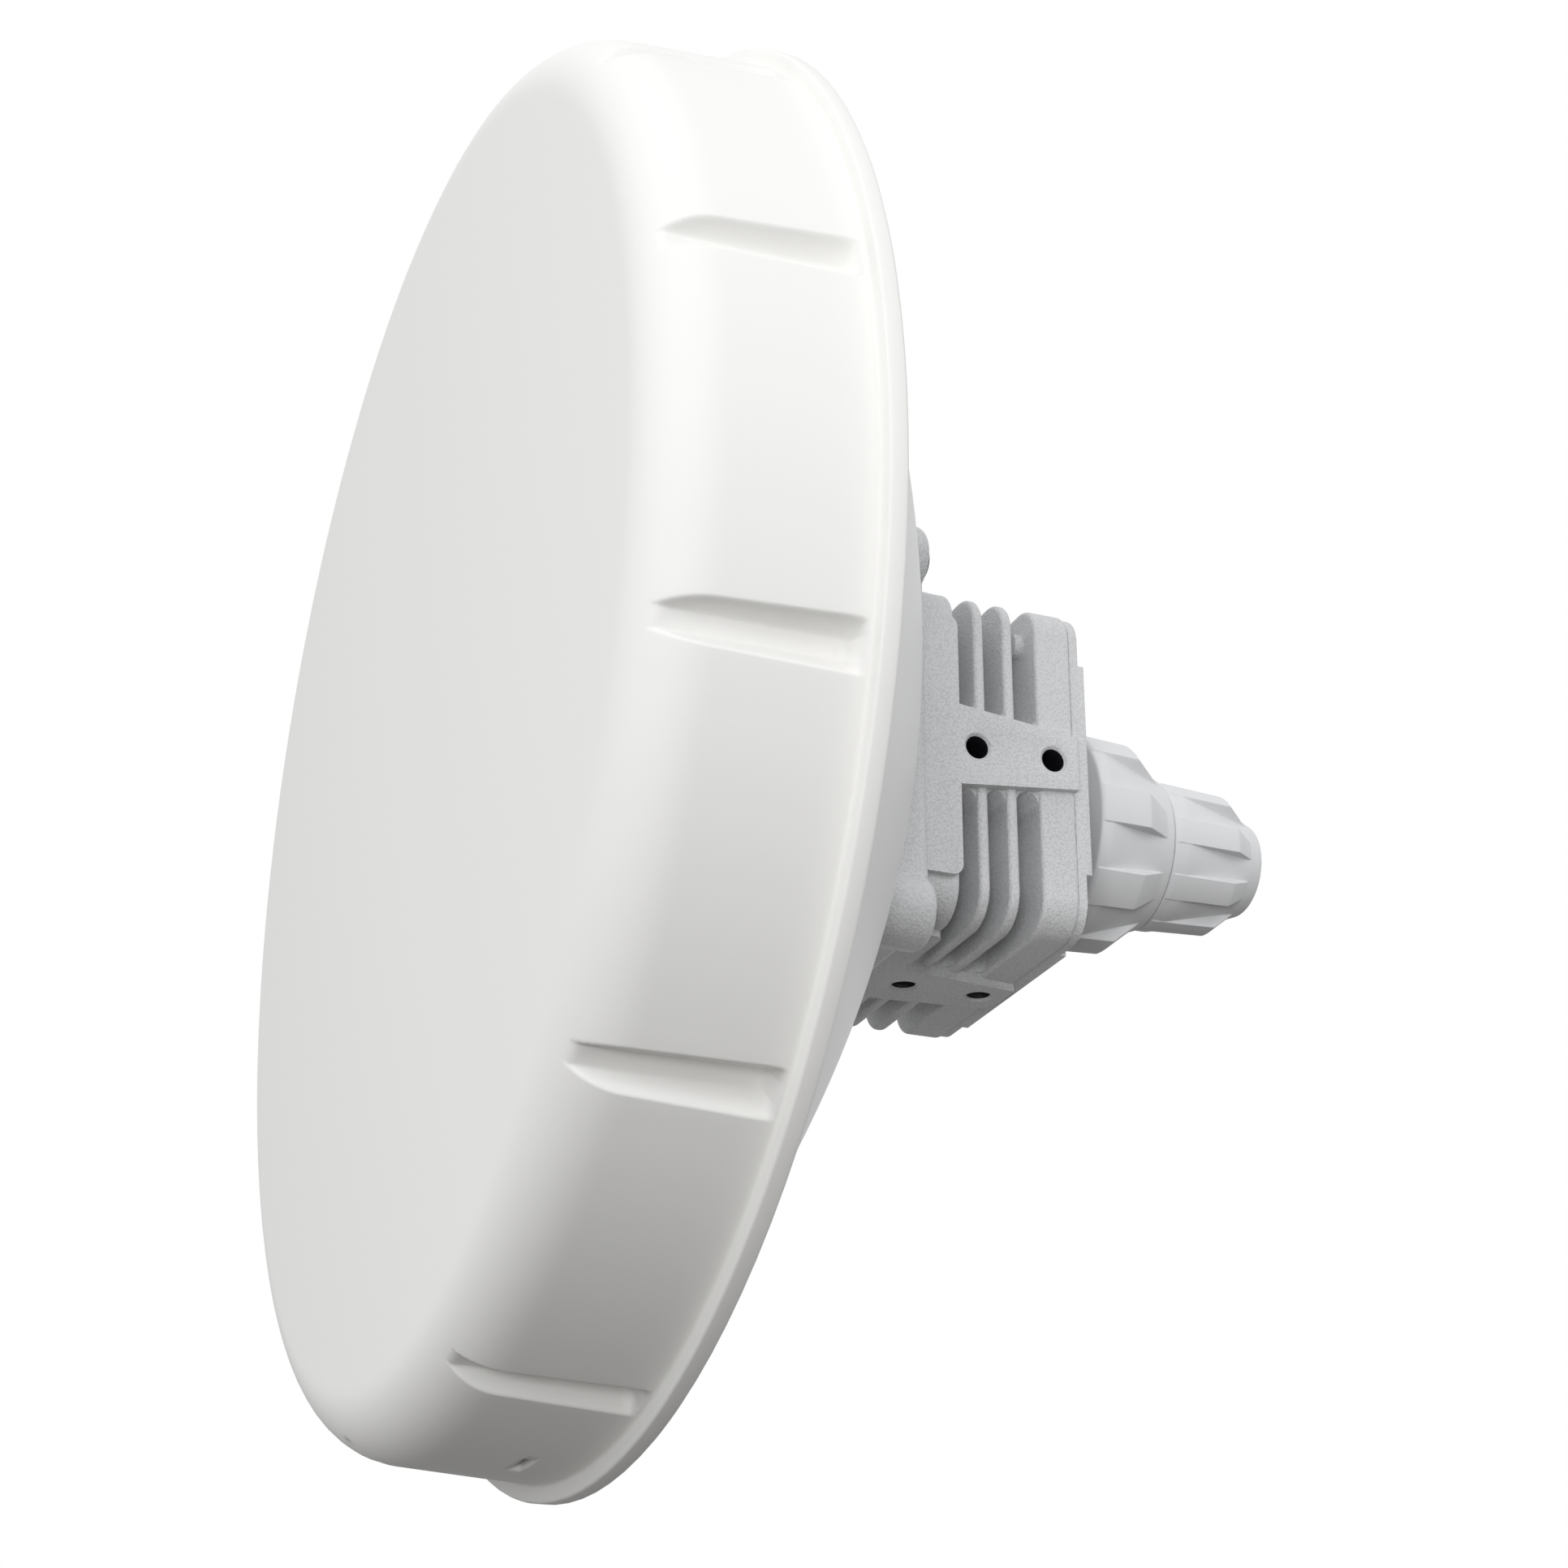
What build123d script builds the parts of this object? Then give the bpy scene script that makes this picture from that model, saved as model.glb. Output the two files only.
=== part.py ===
from build123d import *
from math import cos, radians, sin, sqrt
import os

# Outdoor wireless bridge: a round dish antenna under a plastic radome, a finned
# die-cast housing behind it and a cable gland at the back.
# Millimetres. The dish axis is Y: the radome looks towards -Y, the gland points to
# +Y, +Z is up. The origin is on the dish axis, midway between the tapped pad holes
# that the mounting bracket is bolted to.

# ---- driving dimensions --------------------------------------------------------
rim_radius = 125.0            # outside radius of the radome rim
rim_back_y = -61.6            # rear face of the rim
rim_thickness = 3.0
wall_rear_radius = 122.1      # radome side wall at the rim
wall_front_radius = 120.2     # radome side wall at the front
front_edge_y = -97.5          # plane of the radome's front edge
dome_rise = 3.5               # how far the front face bulges
front_edge_fillet = 11.5
shell = 2.2                   # radome wall
groove_count = 12
groove_first_angle = 15.0
groove_half_width = 3.4
groove_floor_radius = 117.4
groove_end_gap = 0.75         # groove end to rim

dish_apex_y = -18.7           # where the paraboloid's rear face would meet the axis
dish_form = 306.0             # four times the focal length
dish_sheet = 1.8
dish_seat_radius = 54.0       # flat seat for the housing
dish_hole_radius = 12.0
dish_rim_radius = 122.7
dish_rim_sheet = 1.5

flange_front_y = -28.2        # housing flange, against the dish
flange_back_y = -18.1
flange_half = 36.0
lug_offset = 33.0
lug_radius = 6.3
head_radius = 3.4             # lug screw heads, sunk in the lugs
head_sink = 1.3
fin_half = 31.3               # outline of fins and rear block
corner_radius = 6.5
core_half = 21.5
strip_back_y = -10.6
fin_one_y = (-6.9, -4.9)
fin_two_y = (-1.3, 0.7)
block_front_y = 5.0
housing_back_y = 11.9
pad_half = 32.6               # height of the bracket pads above the axis
pad_hole_radius = 2.1         # M5 tapping size
pad_hole_offset = 7.25
pad_hole_depth = 7.0
pad_strip_half = 24.4
arm_front_half = 7.5
arm_back_half = 5.0
cover_shelf_y = 13.6
cover_back_y = 14.7
collar_radius = 14.6
collar_bore = 11.0
collar_end_y = 33.4
lock_nut_front_y = 23.2
seam_y = 41.0
cap_nut_end_y = 62.6
cable_radius = 3.2
running_gap = 0.05
free_gap = 0.3

os.makedirs("parts", exist_ok=True)

quarter_turns = (0, 90, 180, 270)
corner_signs = ((1, 1), (1, -1), (-1, 1), (-1, -1))


def dish_back(radius):
    """Rear surface of the dish at a radius."""
    return dish_apex_y - radius * radius / dish_form


def facing_back(y):
    """Plane square to the dish axis at y, drawn with +Z up and +X to the left."""
    return Plane(origin=(0, y, 0), x_dir=(-1, 0, 0), z_dir=(0, 1, 0))


def spoke_plane(angle, y):
    """Plane square to the axis whose own Y runs outwards at an angle from +Z to +X."""
    turn = radians(angle)
    return Plane(origin=(0, y, 0), x_dir=(cos(turn), 0, -sin(turn)), z_dir=(0, -1, 0))


def side_plane(turn):
    """Plane through the axis that faces one of the four sides, its X towards the gland."""
    angle = radians(turn)
    return Plane(origin=(0, 0, 0), x_dir=(0, 1, 0), z_dir=(cos(angle), 0, -sin(angle)))


def corner_spots(offset):
    """Four places on a square round the axis, in a plane square to it."""
    return [(a * offset, b * offset) for a, b in corner_signs]


# ---- radome ----------------------------------------------------------------------
groove_angles = [groove_first_angle + 360 / groove_count * k for k in range(groove_count)]
groove_back_y = rim_back_y - rim_thickness - groove_end_gap
groove_length = 40.0

# the hollow inside the radome, with a rib left behind every groove
with BuildPart() as radome_hollow:
    with BuildSketch(Plane.XY):
        with BuildLine():
            Line((0, rim_back_y), (wall_rear_radius - shell, rim_back_y))
            Line((wall_rear_radius - shell, rim_back_y),
                 (wall_front_radius - shell, front_edge_y + shell))
            ThreePointArc((wall_front_radius - shell, front_edge_y + shell),
                          (60, front_edge_y + shell - 0.75 * dome_rise),
                          (0, front_edge_y + shell - dome_rise))
            Line((0, front_edge_y + shell - dome_rise), (0, rim_back_y))
        make_face()
    revolve(axis=Axis.Y)
    front_circle = [e for e in radome_hollow.edges().filter_by(GeomType.CIRCLE)
                    if abs(e.center().Y - front_edge_y - shell) < 0.1]
    fillet(front_circle, radius=front_edge_fillet - shell)
    for angle in groove_angles:
        with BuildSketch(spoke_plane(angle, groove_back_y + shell)):
            with Locations((0, groove_floor_radius - shell + 10)):
                RectangleRounded(2 * (groove_half_width + shell), 20, 2.5)
        extrude(amount=groove_length, mode=Mode.SUBTRACT)
radome_hollow.part.label = "radome_hollow"

with BuildPart() as radome:
    with BuildSketch(Plane.XY):
        with BuildLine():
            Polyline((0, rim_back_y), (rim_radius, rim_back_y),
                     (rim_radius, rim_back_y - rim_thickness),
                     (wall_rear_radius, rim_back_y - rim_thickness),
                     (wall_front_radius, front_edge_y))
            ThreePointArc((wall_front_radius, front_edge_y),
                          (60, front_edge_y - 0.75 * dome_rise),
                          (0, front_edge_y - dome_rise))
            Line((0, front_edge_y - dome_rise), (0, rim_back_y))
        make_face()
    revolve(axis=Axis.Y)
    circles = radome.edges().filter_by(GeomType.CIRCLE)
    front_edge = [e for e in circles if abs(e.center().Y - front_edge_y) < 0.1]
    fillet(front_edge, radius=front_edge_fillet)
    for angle in groove_angles:
        with BuildSketch(spoke_plane(angle, groove_back_y)):
            with Locations((0, groove_floor_radius + 10)):
                RectangleRounded(2 * groove_half_width, 20, 2.4)
        extrude(amount=groove_length, mode=Mode.SUBTRACT)
    add(radome_hollow.part, mode=Mode.SUBTRACT)
    # seat for the dish rim
    with BuildSketch(facing_back(rim_back_y)):
        Circle(dish_rim_radius + free_gap)
    extrude(amount=-dish_rim_sheet, mode=Mode.SUBTRACT)
    # drain slot in the side wall at the bottom
    with Locations((0, rim_back_y - 12.5, -wall_rear_radius)):
        Box(8, 2, 12, mode=Mode.SUBTRACT)
    rim_edges = [e for e in radome.edges().filter_by(GeomType.CIRCLE)
                 if abs(e.radius - rim_radius) < 0.01]
    fillet(rim_edges, radius=0.6)
radome.part.label = "radome"

# ---- dish ------------------------------------------------------------------------
rim_join_back = sqrt(dish_form * (dish_apex_y - rim_back_y))
rim_front_y = rim_back_y - dish_rim_sheet
rim_join_front = sqrt(dish_form * (dish_apex_y - dish_sheet - rim_front_y))


def dish_curve(outer, inner, shift):
    """Parabola between two radii as a quadratic Bezier, moved along the axis by shift."""
    middle = (outer + inner) / 2
    slope = -2 * outer / dish_form
    control_y = dish_back(outer) + slope * (middle - outer) + shift
    return Bezier((outer, dish_back(outer) + shift), (middle, control_y),
                  (inner, dish_back(inner) + shift))


with BuildPart() as reflector:
    with BuildSketch(Plane.XY):
        with BuildLine():
            Polyline((dish_seat_radius, flange_front_y), (dish_hole_radius, flange_front_y),
                     (dish_hole_radius, flange_front_y - dish_sheet),
                     (dish_seat_radius, flange_front_y - dish_sheet),
                     (dish_seat_radius, dish_back(dish_seat_radius) - dish_sheet))
            dish_curve(rim_join_front, dish_seat_radius, -dish_sheet)
            Polyline((rim_join_front, rim_front_y), (dish_rim_radius, rim_front_y),
                     (dish_rim_radius, rim_back_y), (rim_join_back, rim_back_y))
            dish_curve(rim_join_back, dish_seat_radius, 0)
            Line((dish_seat_radius, dish_back(dish_seat_radius)),
                 (dish_seat_radius, flange_front_y))
        make_face()
    revolve(axis=Axis.Y)
    with BuildSketch(facing_back(flange_front_y)):
        with Locations(*corner_spots(lug_offset)):
            Circle(2.2)
    extrude(amount=-10, mode=Mode.SUBTRACT)
reflector.part.label = "reflector"

# ---- feed ------------------------------------------------------------------------
feed_radius = 6.2
feed_bore = 4.2
feed_front_y = -75.6
feed_flange_y = flange_front_y + 2.0
cone_radius = 20.0
cone_front_y = -89.0

with BuildPart() as feed_tube:
    with BuildSketch(Plane.XY):
        with BuildLine():
            Polyline((feed_bore, feed_front_y), (feed_radius, feed_front_y),
                     (feed_radius, flange_front_y), (18, flange_front_y),
                     (18, feed_flange_y), (feed_bore, feed_flange_y), close=True)
        make_face()
    revolve(axis=Axis.Y)
feed_tube.part.label = "feed_tube"

with BuildPart() as dielectric_cone:
    with BuildSketch(Plane.XY):
        with BuildLine():
            Polyline((0, feed_front_y + 6), (3.0, feed_front_y + 6), (feed_bore, feed_front_y + 2),
                     (feed_bore, feed_front_y), (8.0, feed_front_y),
                     (cone_radius, cone_front_y), (0, cone_front_y + 6), close=True)
        make_face()
    revolve(axis=Axis.Y)
dielectric_cone.part.label = "dielectric_cone"

with BuildPart() as sub_reflector:
    with BuildSketch(Plane.XY):
        with BuildLine():
            Polyline((0, cone_front_y + 6), (cone_radius, cone_front_y),
                     (cone_radius + 2, cone_front_y), (cone_radius + 2, cone_front_y - 1.5),
                     (0, cone_front_y - 1.5), close=True)
        make_face()
    revolve(axis=Axis.Y)
sub_reflector.part.label = "sub_reflector"

# ---- housing ---------------------------------------------------------------------
front_cavity_half = 25.0
front_cavity_y = -20.6
rear_floor_y = 6.5
web_back_y = -11.0
land_y = 6.4
cpu_z = -9.0                  # processor, below the axis
plus_long = 24.0              # ends short of the tapped holes
plus_short = 19.0
screw_offset = 24.8
post_spots = [(20.6, 14), (20.6, -14), (-20.6, 14), (-20.6, -14)]
radio_post = 20.0
slot_spans = ((strip_back_y, fin_one_y[0]), (fin_one_y[1], fin_two_y[0]),
              (fin_two_y[1], block_front_y))

with BuildPart() as housing:
    # front flange with four round lugs
    with BuildSketch(facing_back(flange_front_y)):
        RectangleRounded(2 * flange_half, 2 * flange_half, corner_radius)
        with Locations(*corner_spots(lug_offset)):
            Circle(lug_radius)
    extrude(amount=flange_back_y - flange_front_y)
    lug_rims = housing.faces().sort_by(Axis.Y)[-1].edges()
    fillet(lug_rims, radius=2.0)
    # core
    with BuildSketch(facing_back(flange_back_y)):
        Rectangle(2 * core_half, 2 * core_half)
    extrude(amount=housing_back_y - flange_back_y)
    # the solid strip, two thin fins and the rear block
    for start_y, end_y in ((flange_back_y, strip_back_y), fin_one_y, fin_two_y,
                           (block_front_y, housing_back_y)):
        with BuildSketch(facing_back(start_y)):
            RectangleRounded(2 * fin_half, 2 * fin_half, corner_radius)
        extrude(amount=end_y - start_y)
    # soften the outer edges of the fins, the strip and the block
    outer_loops = [e for e in housing.edges()
                   if max(abs(e.center().X), abs(e.center().Z)) > core_half + 0.1
                   and abs(e.bounding_box().size.Y) < 0.001
                   and abs(e.center().Y - flange_back_y) > 0.1
                   and e.center().Y > flange_back_y]
    fillet(outer_loops, radius=0.8)
    # T-shaped bracket pads on all four sides
    for turn in quarter_turns:
        side = side_plane(turn)
        with BuildSketch(side.offset(core_half)) as pad_face:
            with BuildLine():
                Polyline((flange_back_y, -pad_strip_half), (strip_back_y, -pad_strip_half),
                         (strip_back_y, -arm_front_half), (housing_back_y, -arm_back_half),
                         (housing_back_y, arm_back_half), (strip_back_y, arm_front_half),
                         (strip_back_y, pad_strip_half), (flange_back_y, pad_strip_half),
                         close=True)
            make_face()
            corners = pad_face.vertices()
            fillet([v for v in corners if abs(abs(v.Y) - pad_strip_half) < 0.01
                    and v.X > flange_back_y + 0.1], radius=2.0)
            fillet([v for v in corners if abs(abs(v.Y) - arm_front_half) < 0.01], radius=1.6)
        extrude(amount=pad_half - core_half)
        # rounded ends where the slots stop at the arm
        with BuildSketch(side.offset(core_half)):
            for near_y, far_y in slot_spans:
                slot_middle = (near_y + far_y) / 2
                slot_radius = (far_y - near_y) / 2
                lean = (arm_front_half - arm_back_half) / (housing_back_y - strip_back_y)
                arm_edge = arm_front_half - lean * (slot_middle - strip_back_y)
                for sign in (1, -1):
                    with Locations((slot_middle, sign * (arm_edge + slot_radius / 2 - 0.2))):
                        Rectangle(2 * slot_radius, slot_radius + 0.4)
                    with Locations((slot_middle, sign * (arm_edge + slot_radius))):
                        Circle(slot_radius, mode=Mode.SUBTRACT)
        extrude(amount=fin_half - 0.8 - core_half)
    # tips of the upper cover-screw bosses, standing in the last slot
    with BuildSketch(facing_back(block_front_y - 1.6)):
        with Locations((screw_offset, screw_offset), (-screw_offset, screw_offset)):
            Circle(2.2)
    extrude(amount=4)
    # front cavity for the radio board
    with BuildSketch(facing_back(flange_front_y)):
        RectangleRounded(2 * front_cavity_half, 2 * front_cavity_half, 3)
    extrude(amount=front_cavity_y - flange_front_y, mode=Mode.SUBTRACT)
    with BuildSketch(facing_back(front_cavity_y)):
        with Locations(*corner_spots(radio_post)):
            Circle(2.4)
    extrude(amount=-4.0)
    # slot for the flat cable between the boards
    with Locations((0, (front_cavity_y + web_back_y) / 2, 15)):
        Box(20, web_back_y - front_cavity_y + 0.2, 4, mode=Mode.SUBTRACT)
    # rear cavity: a well in the core, then a plus-shaped pocket for the main board
    with BuildSketch(facing_back(web_back_y)):
        Rectangle(34, 34)
    extrude(amount=housing_back_y - web_back_y, mode=Mode.SUBTRACT)
    with BuildSketch(facing_back(rear_floor_y)):
        Rectangle(2 * plus_long, 2 * plus_short)
        Rectangle(2 * plus_short, 2 * plus_long)
    extrude(amount=housing_back_y - rear_floor_y, mode=Mode.SUBTRACT)
    # raised land that carries the processor's heat away, and the board posts
    with BuildSketch(facing_back(web_back_y)):
        with Locations((0, cpu_z)):
            Rectangle(14, 14)
    extrude(amount=land_y - web_back_y)
    with BuildSketch(facing_back(rear_floor_y)):
        with Locations(*post_spots):
            Circle(2.5)
    extrude(amount=2.1)
    # groove for the rear gasket
    with BuildSketch(facing_back(housing_back_y)):
        Rectangle(2 * plus_long + 4.4, 2 * plus_short + 4.4)
        Rectangle(2 * plus_short + 4.4, 2 * plus_long + 4.4)
        Rectangle(2 * plus_long + 2, 2 * plus_short + 2, mode=Mode.SUBTRACT)
        Rectangle(2 * plus_short + 2, 2 * plus_long + 2, mode=Mode.SUBTRACT)
    extrude(amount=-1.0, mode=Mode.SUBTRACT)
    # groove for the front gasket
    with BuildSketch(facing_back(flange_front_y)):
        RectangleRounded(57, 57, 5)
        RectangleRounded(53.6, 53.6, 3.3, mode=Mode.SUBTRACT)
    extrude(amount=1.0, mode=Mode.SUBTRACT)
    # tapped holes
    for turn in quarter_turns:
        side = side_plane(turn)
        with BuildSketch(side.offset(pad_half)):
            with Locations((-pad_hole_offset, 0), (pad_hole_offset, 0)):
                Circle(pad_hole_radius)
        extrude(amount=-pad_hole_depth, mode=Mode.SUBTRACT)
    mouths = [e for e in housing.edges().filter_by(GeomType.CIRCLE)
              if abs(e.radius - pad_hole_radius) < 0.001
              and abs(max(abs(e.center().X), abs(e.center().Z)) - pad_half) < 0.01]
    chamfer(mouths, length=0.5)
    with BuildSketch(facing_back(flange_front_y)):
        with Locations(*corner_spots(lug_offset)):
            Circle(2.2)
    extrude(amount=flange_back_y - flange_front_y, mode=Mode.SUBTRACT)
    with BuildSketch(facing_back(flange_back_y)):
        with Locations(*corner_spots(lug_offset)):
            Circle(head_radius + free_gap)
    extrude(amount=-head_sink, mode=Mode.SUBTRACT)
    with BuildSketch(facing_back(housing_back_y)):
        with Locations(*corner_spots(screw_offset)):
            Circle(1.5)
    extrude(amount=-6.0, mode=Mode.SUBTRACT)
    with BuildSketch(facing_back(rear_floor_y + 2.1)):
        with Locations(*post_spots):
            Circle(1.0)
    extrude(amount=-3.0, mode=Mode.SUBTRACT)
    with BuildSketch(facing_back(front_cavity_y - 4.0)):
        with Locations(*corner_spots(radio_post)):
            Circle(1.0)
    extrude(amount=5.0, mode=Mode.SUBTRACT)
housing.part.label = "housing"

with BuildPart() as front_gasket:
    with BuildSketch(facing_back(flange_front_y)):
        RectangleRounded(57, 57, 5)
        RectangleRounded(53.6, 53.6, 3.3, mode=Mode.SUBTRACT)
    extrude(amount=1.0)
front_gasket.part.label = "front_gasket"

head_seat_y = flange_back_y - head_sink

with BuildPart() as housing_screws:
    with BuildSketch(facing_back(head_seat_y)):
        with Locations(*corner_spots(lug_offset)):
            Circle(head_radius)
    extrude(amount=2.3)
    heads = housing_screws.faces().filter_by(Axis.Y).sort_by(Axis.Y)[-4:]
    fillet(heads.edges(), radius=0.9)
    with BuildSketch(facing_back(head_seat_y + 2.3)):
        with Locations(*corner_spots(lug_offset)):
            RegularPolygon(radius=1.5, side_count=6)
    extrude(amount=-1.3, mode=Mode.SUBTRACT)
    with BuildSketch(facing_back(head_seat_y)):
        with Locations(*corner_spots(lug_offset)):
            Circle(2.0)
    extrude(amount=flange_front_y - dish_sheet - 2.8 - head_seat_y)
housing_screws.part.label = "housing_screws"

with BuildPart() as housing_nuts:
    with BuildSketch(facing_back(flange_front_y - dish_sheet)):
        with Locations(*corner_spots(lug_offset)):
            RegularPolygon(radius=4.0, side_count=6)
            Circle(2.0, mode=Mode.SUBTRACT)
    extrude(amount=-2.4)
housing_nuts.part.label = "housing_nuts"

# ---- radio board behind the dish ---------------------------------------------------
radio_back_y = front_cavity_y - 4.0

with BuildPart() as radio_board:
    with BuildSketch(facing_back(radio_back_y)):
        RectangleRounded(47, 47, 2)
        with Locations(*corner_spots(radio_post)):
            Circle(1.2, mode=Mode.SUBTRACT)
    extrude(amount=-1.5)
radio_board.part.label = "radio_board"

with BuildPart() as radio_shield:
    with BuildSketch(facing_back(radio_back_y)):
        RectangleRounded(28, 24, 1)
    extrude(amount=3.0)
    with BuildSketch(facing_back(radio_back_y)):
        RectangleRounded(27.4, 23.4, 0.8)
    extrude(amount=2.7, mode=Mode.SUBTRACT)
radio_shield.part.label = "radio_shield"

with BuildPart() as radio_chip:
    with BuildSketch(facing_back(radio_back_y)):
        Rectangle(12, 12)
    extrude(amount=1.2)
radio_chip.part.label = "radio_chip"

with BuildPart() as radio_pad:
    with BuildSketch(facing_back(radio_back_y + 3.0)):
        Rectangle(20, 18)
    extrude(amount=1.0)
radio_pad.part.label = "radio_pad"

with BuildPart() as radio_screws:
    with BuildSketch(facing_back(radio_back_y - 1.5)):
        with Locations(*corner_spots(radio_post)):
            Circle(2.0)
    extrude(amount=-1.2)
    with BuildSketch(facing_back(radio_back_y - 1.5)):
        with Locations(*corner_spots(radio_post)):
            Circle(1.0)
    extrude(amount=5.5)
radio_screws.part.label = "radio_screws"

# ---- main board in the rear pocket ---------------------------------------------------
board_front_y = rear_floor_y + 2.1
board_back_y = board_front_y + 1.6

with BuildPart() as flex_cable:
    with Locations((0, (radio_back_y + board_front_y) / 2, 15)):
        Box(14, board_front_y - radio_back_y, 0.4)
flex_cable.part.label = "flex_cable"

with BuildPart() as main_board:
    with BuildSketch(facing_back(board_front_y)):
        Rectangle(2 * plus_long - 2, 2 * plus_short - 2)
        Rectangle(2 * plus_short - 2, 2 * plus_long - 2)
        with Locations(*post_spots):
            Circle(1.2, mode=Mode.SUBTRACT)
    extrude(amount=1.6)
main_board.part.label = "main_board"

with BuildPart() as cpu_chip:
    with BuildSketch(facing_back(board_front_y)):
        with Locations((0, cpu_z)):
            Rectangle(13, 13)
    extrude(amount=-1.3)
cpu_chip.part.label = "cpu_chip"

with BuildPart() as cpu_pad:
    with BuildSketch(facing_back(board_front_y - 1.3)):
        with Locations((0, cpu_z)):
            Rectangle(13, 13)
    extrude(amount=land_y - (board_front_y - 1.3))
cpu_pad.part.label = "cpu_pad"

with BuildPart() as board_screws:
    with BuildSketch(facing_back(board_back_y)):
        with Locations(*post_spots):
            Circle(2.1)
    extrude(amount=1.3)
    with BuildSketch(facing_back(board_back_y)):
        with Locations(*post_spots):
            Circle(1.0)
    extrude(amount=-4.2)
board_screws.part.label = "board_screws"

# eight-pin socket standing in the gland collar
jack_width = 15.6
jack_height = 13.0
jack_back_y = board_back_y + 18.0

with BuildPart() as ethernet_jack:
    with BuildSketch(facing_back(board_back_y)):
        Rectangle(jack_width, jack_height)
    extrude(amount=18.0)
    with BuildSketch(facing_back(jack_back_y)):
        with Locations((0, -0.6)):
            Rectangle(11.9, 7.0)
        with Locations((0, 3.9)):
            Rectangle(6.2, 2.2)
        with Locations((0, 5.4)):
            Rectangle(3.4, 1.0)
    extrude(amount=-13.5, mode=Mode.SUBTRACT)
ethernet_jack.part.label = "ethernet_jack"

with BuildPart() as jack_contacts:
    with BuildSketch(facing_back(jack_back_y - 13.5)):
        with GridLocations(1.02, 1, 8, 1):
            with Locations((0, -3.6)):
                Rectangle(0.4, 0.5)
    extrude(amount=11)
jack_contacts.part.label = "jack_contacts"

with BuildPart() as status_leds:
    with BuildSketch(facing_back(board_back_y)):
        with Locations((-3, 8.7), (3, 8.7)):
            Rectangle(1.6, 0.9)
    extrude(amount=0.7)
status_leds.part.label = "status_leds"

# reset switch beside the socket, reached through the collar with the gland off
button_z = -8.9
button_travel = 0.3

with BuildPart() as reset_switch:
    with BuildSketch(facing_back(board_back_y)):
        with Locations((0, button_z)):
            Rectangle(3.2, 3.0)
            Circle(0.9, mode=Mode.SUBTRACT)
    extrude(amount=1.0)
reset_switch.part.label = "reset_switch"

with BuildPart() as reset_button:
    with BuildSketch(facing_back(board_back_y + button_travel + 0.05)):
        with Locations((0, button_z)):
            Circle(0.85)
    extrude(amount=1.15)
reset_button.part.label = "reset_button"

# ---- rear cover --------------------------------------------------------------------
cover_half = fin_half - 0.4
relief_half = 20.0

with BuildPart() as rear_cover:
    with BuildSketch(facing_back(housing_back_y)):
        RectangleRounded(2 * cover_half, 2 * cover_half, corner_radius - 0.4)
    extrude(amount=cover_shelf_y - housing_back_y)
    with BuildSketch(facing_back(cover_shelf_y)):
        Rectangle(2 * cover_half, 2 * relief_half)
        Rectangle(2 * relief_half, 2 * cover_half)
    extrude(amount=cover_back_y - cover_shelf_y)
    with BuildSketch(facing_back(cover_back_y)):
        Circle(collar_radius)
    extrude(amount=collar_end_y - cover_back_y)
    with BuildSketch(facing_back(cover_back_y)):
        Circle(collar_radius + 4)
    extrude(amount=1.2)
    with BuildSketch(facing_back(housing_back_y)):
        Circle(collar_bore)
    extrude(amount=collar_end_y - housing_back_y, mode=Mode.SUBTRACT)
    with BuildSketch(facing_back(cover_shelf_y)):
        with Locations(*corner_spots(screw_offset)):
            Circle(1.7)
    extrude(amount=housing_back_y - cover_shelf_y, mode=Mode.SUBTRACT)
rear_cover.part.label = "rear_cover"

with BuildPart() as rear_gasket:
    with BuildSketch(facing_back(housing_back_y)):
        Rectangle(2 * plus_long + 4.4, 2 * plus_short + 4.4)
        Rectangle(2 * plus_short + 4.4, 2 * plus_long + 4.4)
        Rectangle(2 * plus_long + 2, 2 * plus_short + 2, mode=Mode.SUBTRACT)
        Rectangle(2 * plus_short + 2, 2 * plus_long + 2, mode=Mode.SUBTRACT)
    extrude(amount=-1.0)
rear_gasket.part.label = "rear_gasket"

with BuildPart() as cover_screws:
    with BuildSketch(facing_back(cover_shelf_y)):
        with Locations(*corner_spots(screw_offset)):
            Circle(2.9)
    extrude(amount=1.9)
    heads = cover_screws.faces().filter_by(Axis.Y).sort_by(Axis.Y)[-4:]
    fillet(heads.edges(), radius=0.8)
    with BuildSketch(facing_back(cover_shelf_y + 1.9)):
        with Locations(*corner_spots(screw_offset)):
            RegularPolygon(radius=1.25, side_count=6)
    extrude(amount=-1.1, mode=Mode.SUBTRACT)
    with BuildSketch(facing_back(cover_shelf_y)):
        with Locations(*corner_spots(screw_offset)):
            Circle(1.5)
    extrude(amount=housing_back_y - 5.6 - cover_shelf_y)
cover_screws.part.label = "cover_screws"

# ---- cable gland -------------------------------------------------------------------
# the sleeve's flange is trapped between the collar's end and the lock nut's shoulder
sleeve_flange_back_y = collar_end_y + 1.0 + 1.8
neck_radius = 9.3
neck_end_y = 53.0
shoulder_y = sleeve_flange_back_y + 0.05

with BuildPart() as collar_seal:
    with BuildSketch(facing_back(collar_end_y)):
        Circle(collar_radius - 0.6)
        Circle(collar_bore + 0.6, mode=Mode.SUBTRACT)
    extrude(amount=1.0)
collar_seal.part.label = "collar_seal"

with BuildPart() as gland_sleeve:
    with BuildSketch(Plane.XY):
        with BuildLine():
            Polyline((7.6, collar_end_y + 1.0), (collar_radius - 0.3, collar_end_y + 1.0),
                     (collar_radius - 0.3, sleeve_flange_back_y),
                     (neck_radius, sleeve_flange_back_y), (neck_radius, neck_end_y),
                     (7.6, neck_end_y), (7.6, 43.0), (7.0, 43.0), (7.0, 41.5),
                     (7.6, 41.5), close=True)
        make_face()
    revolve(axis=Axis.Y)
gland_sleeve.part.label = "gland_sleeve"

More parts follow.
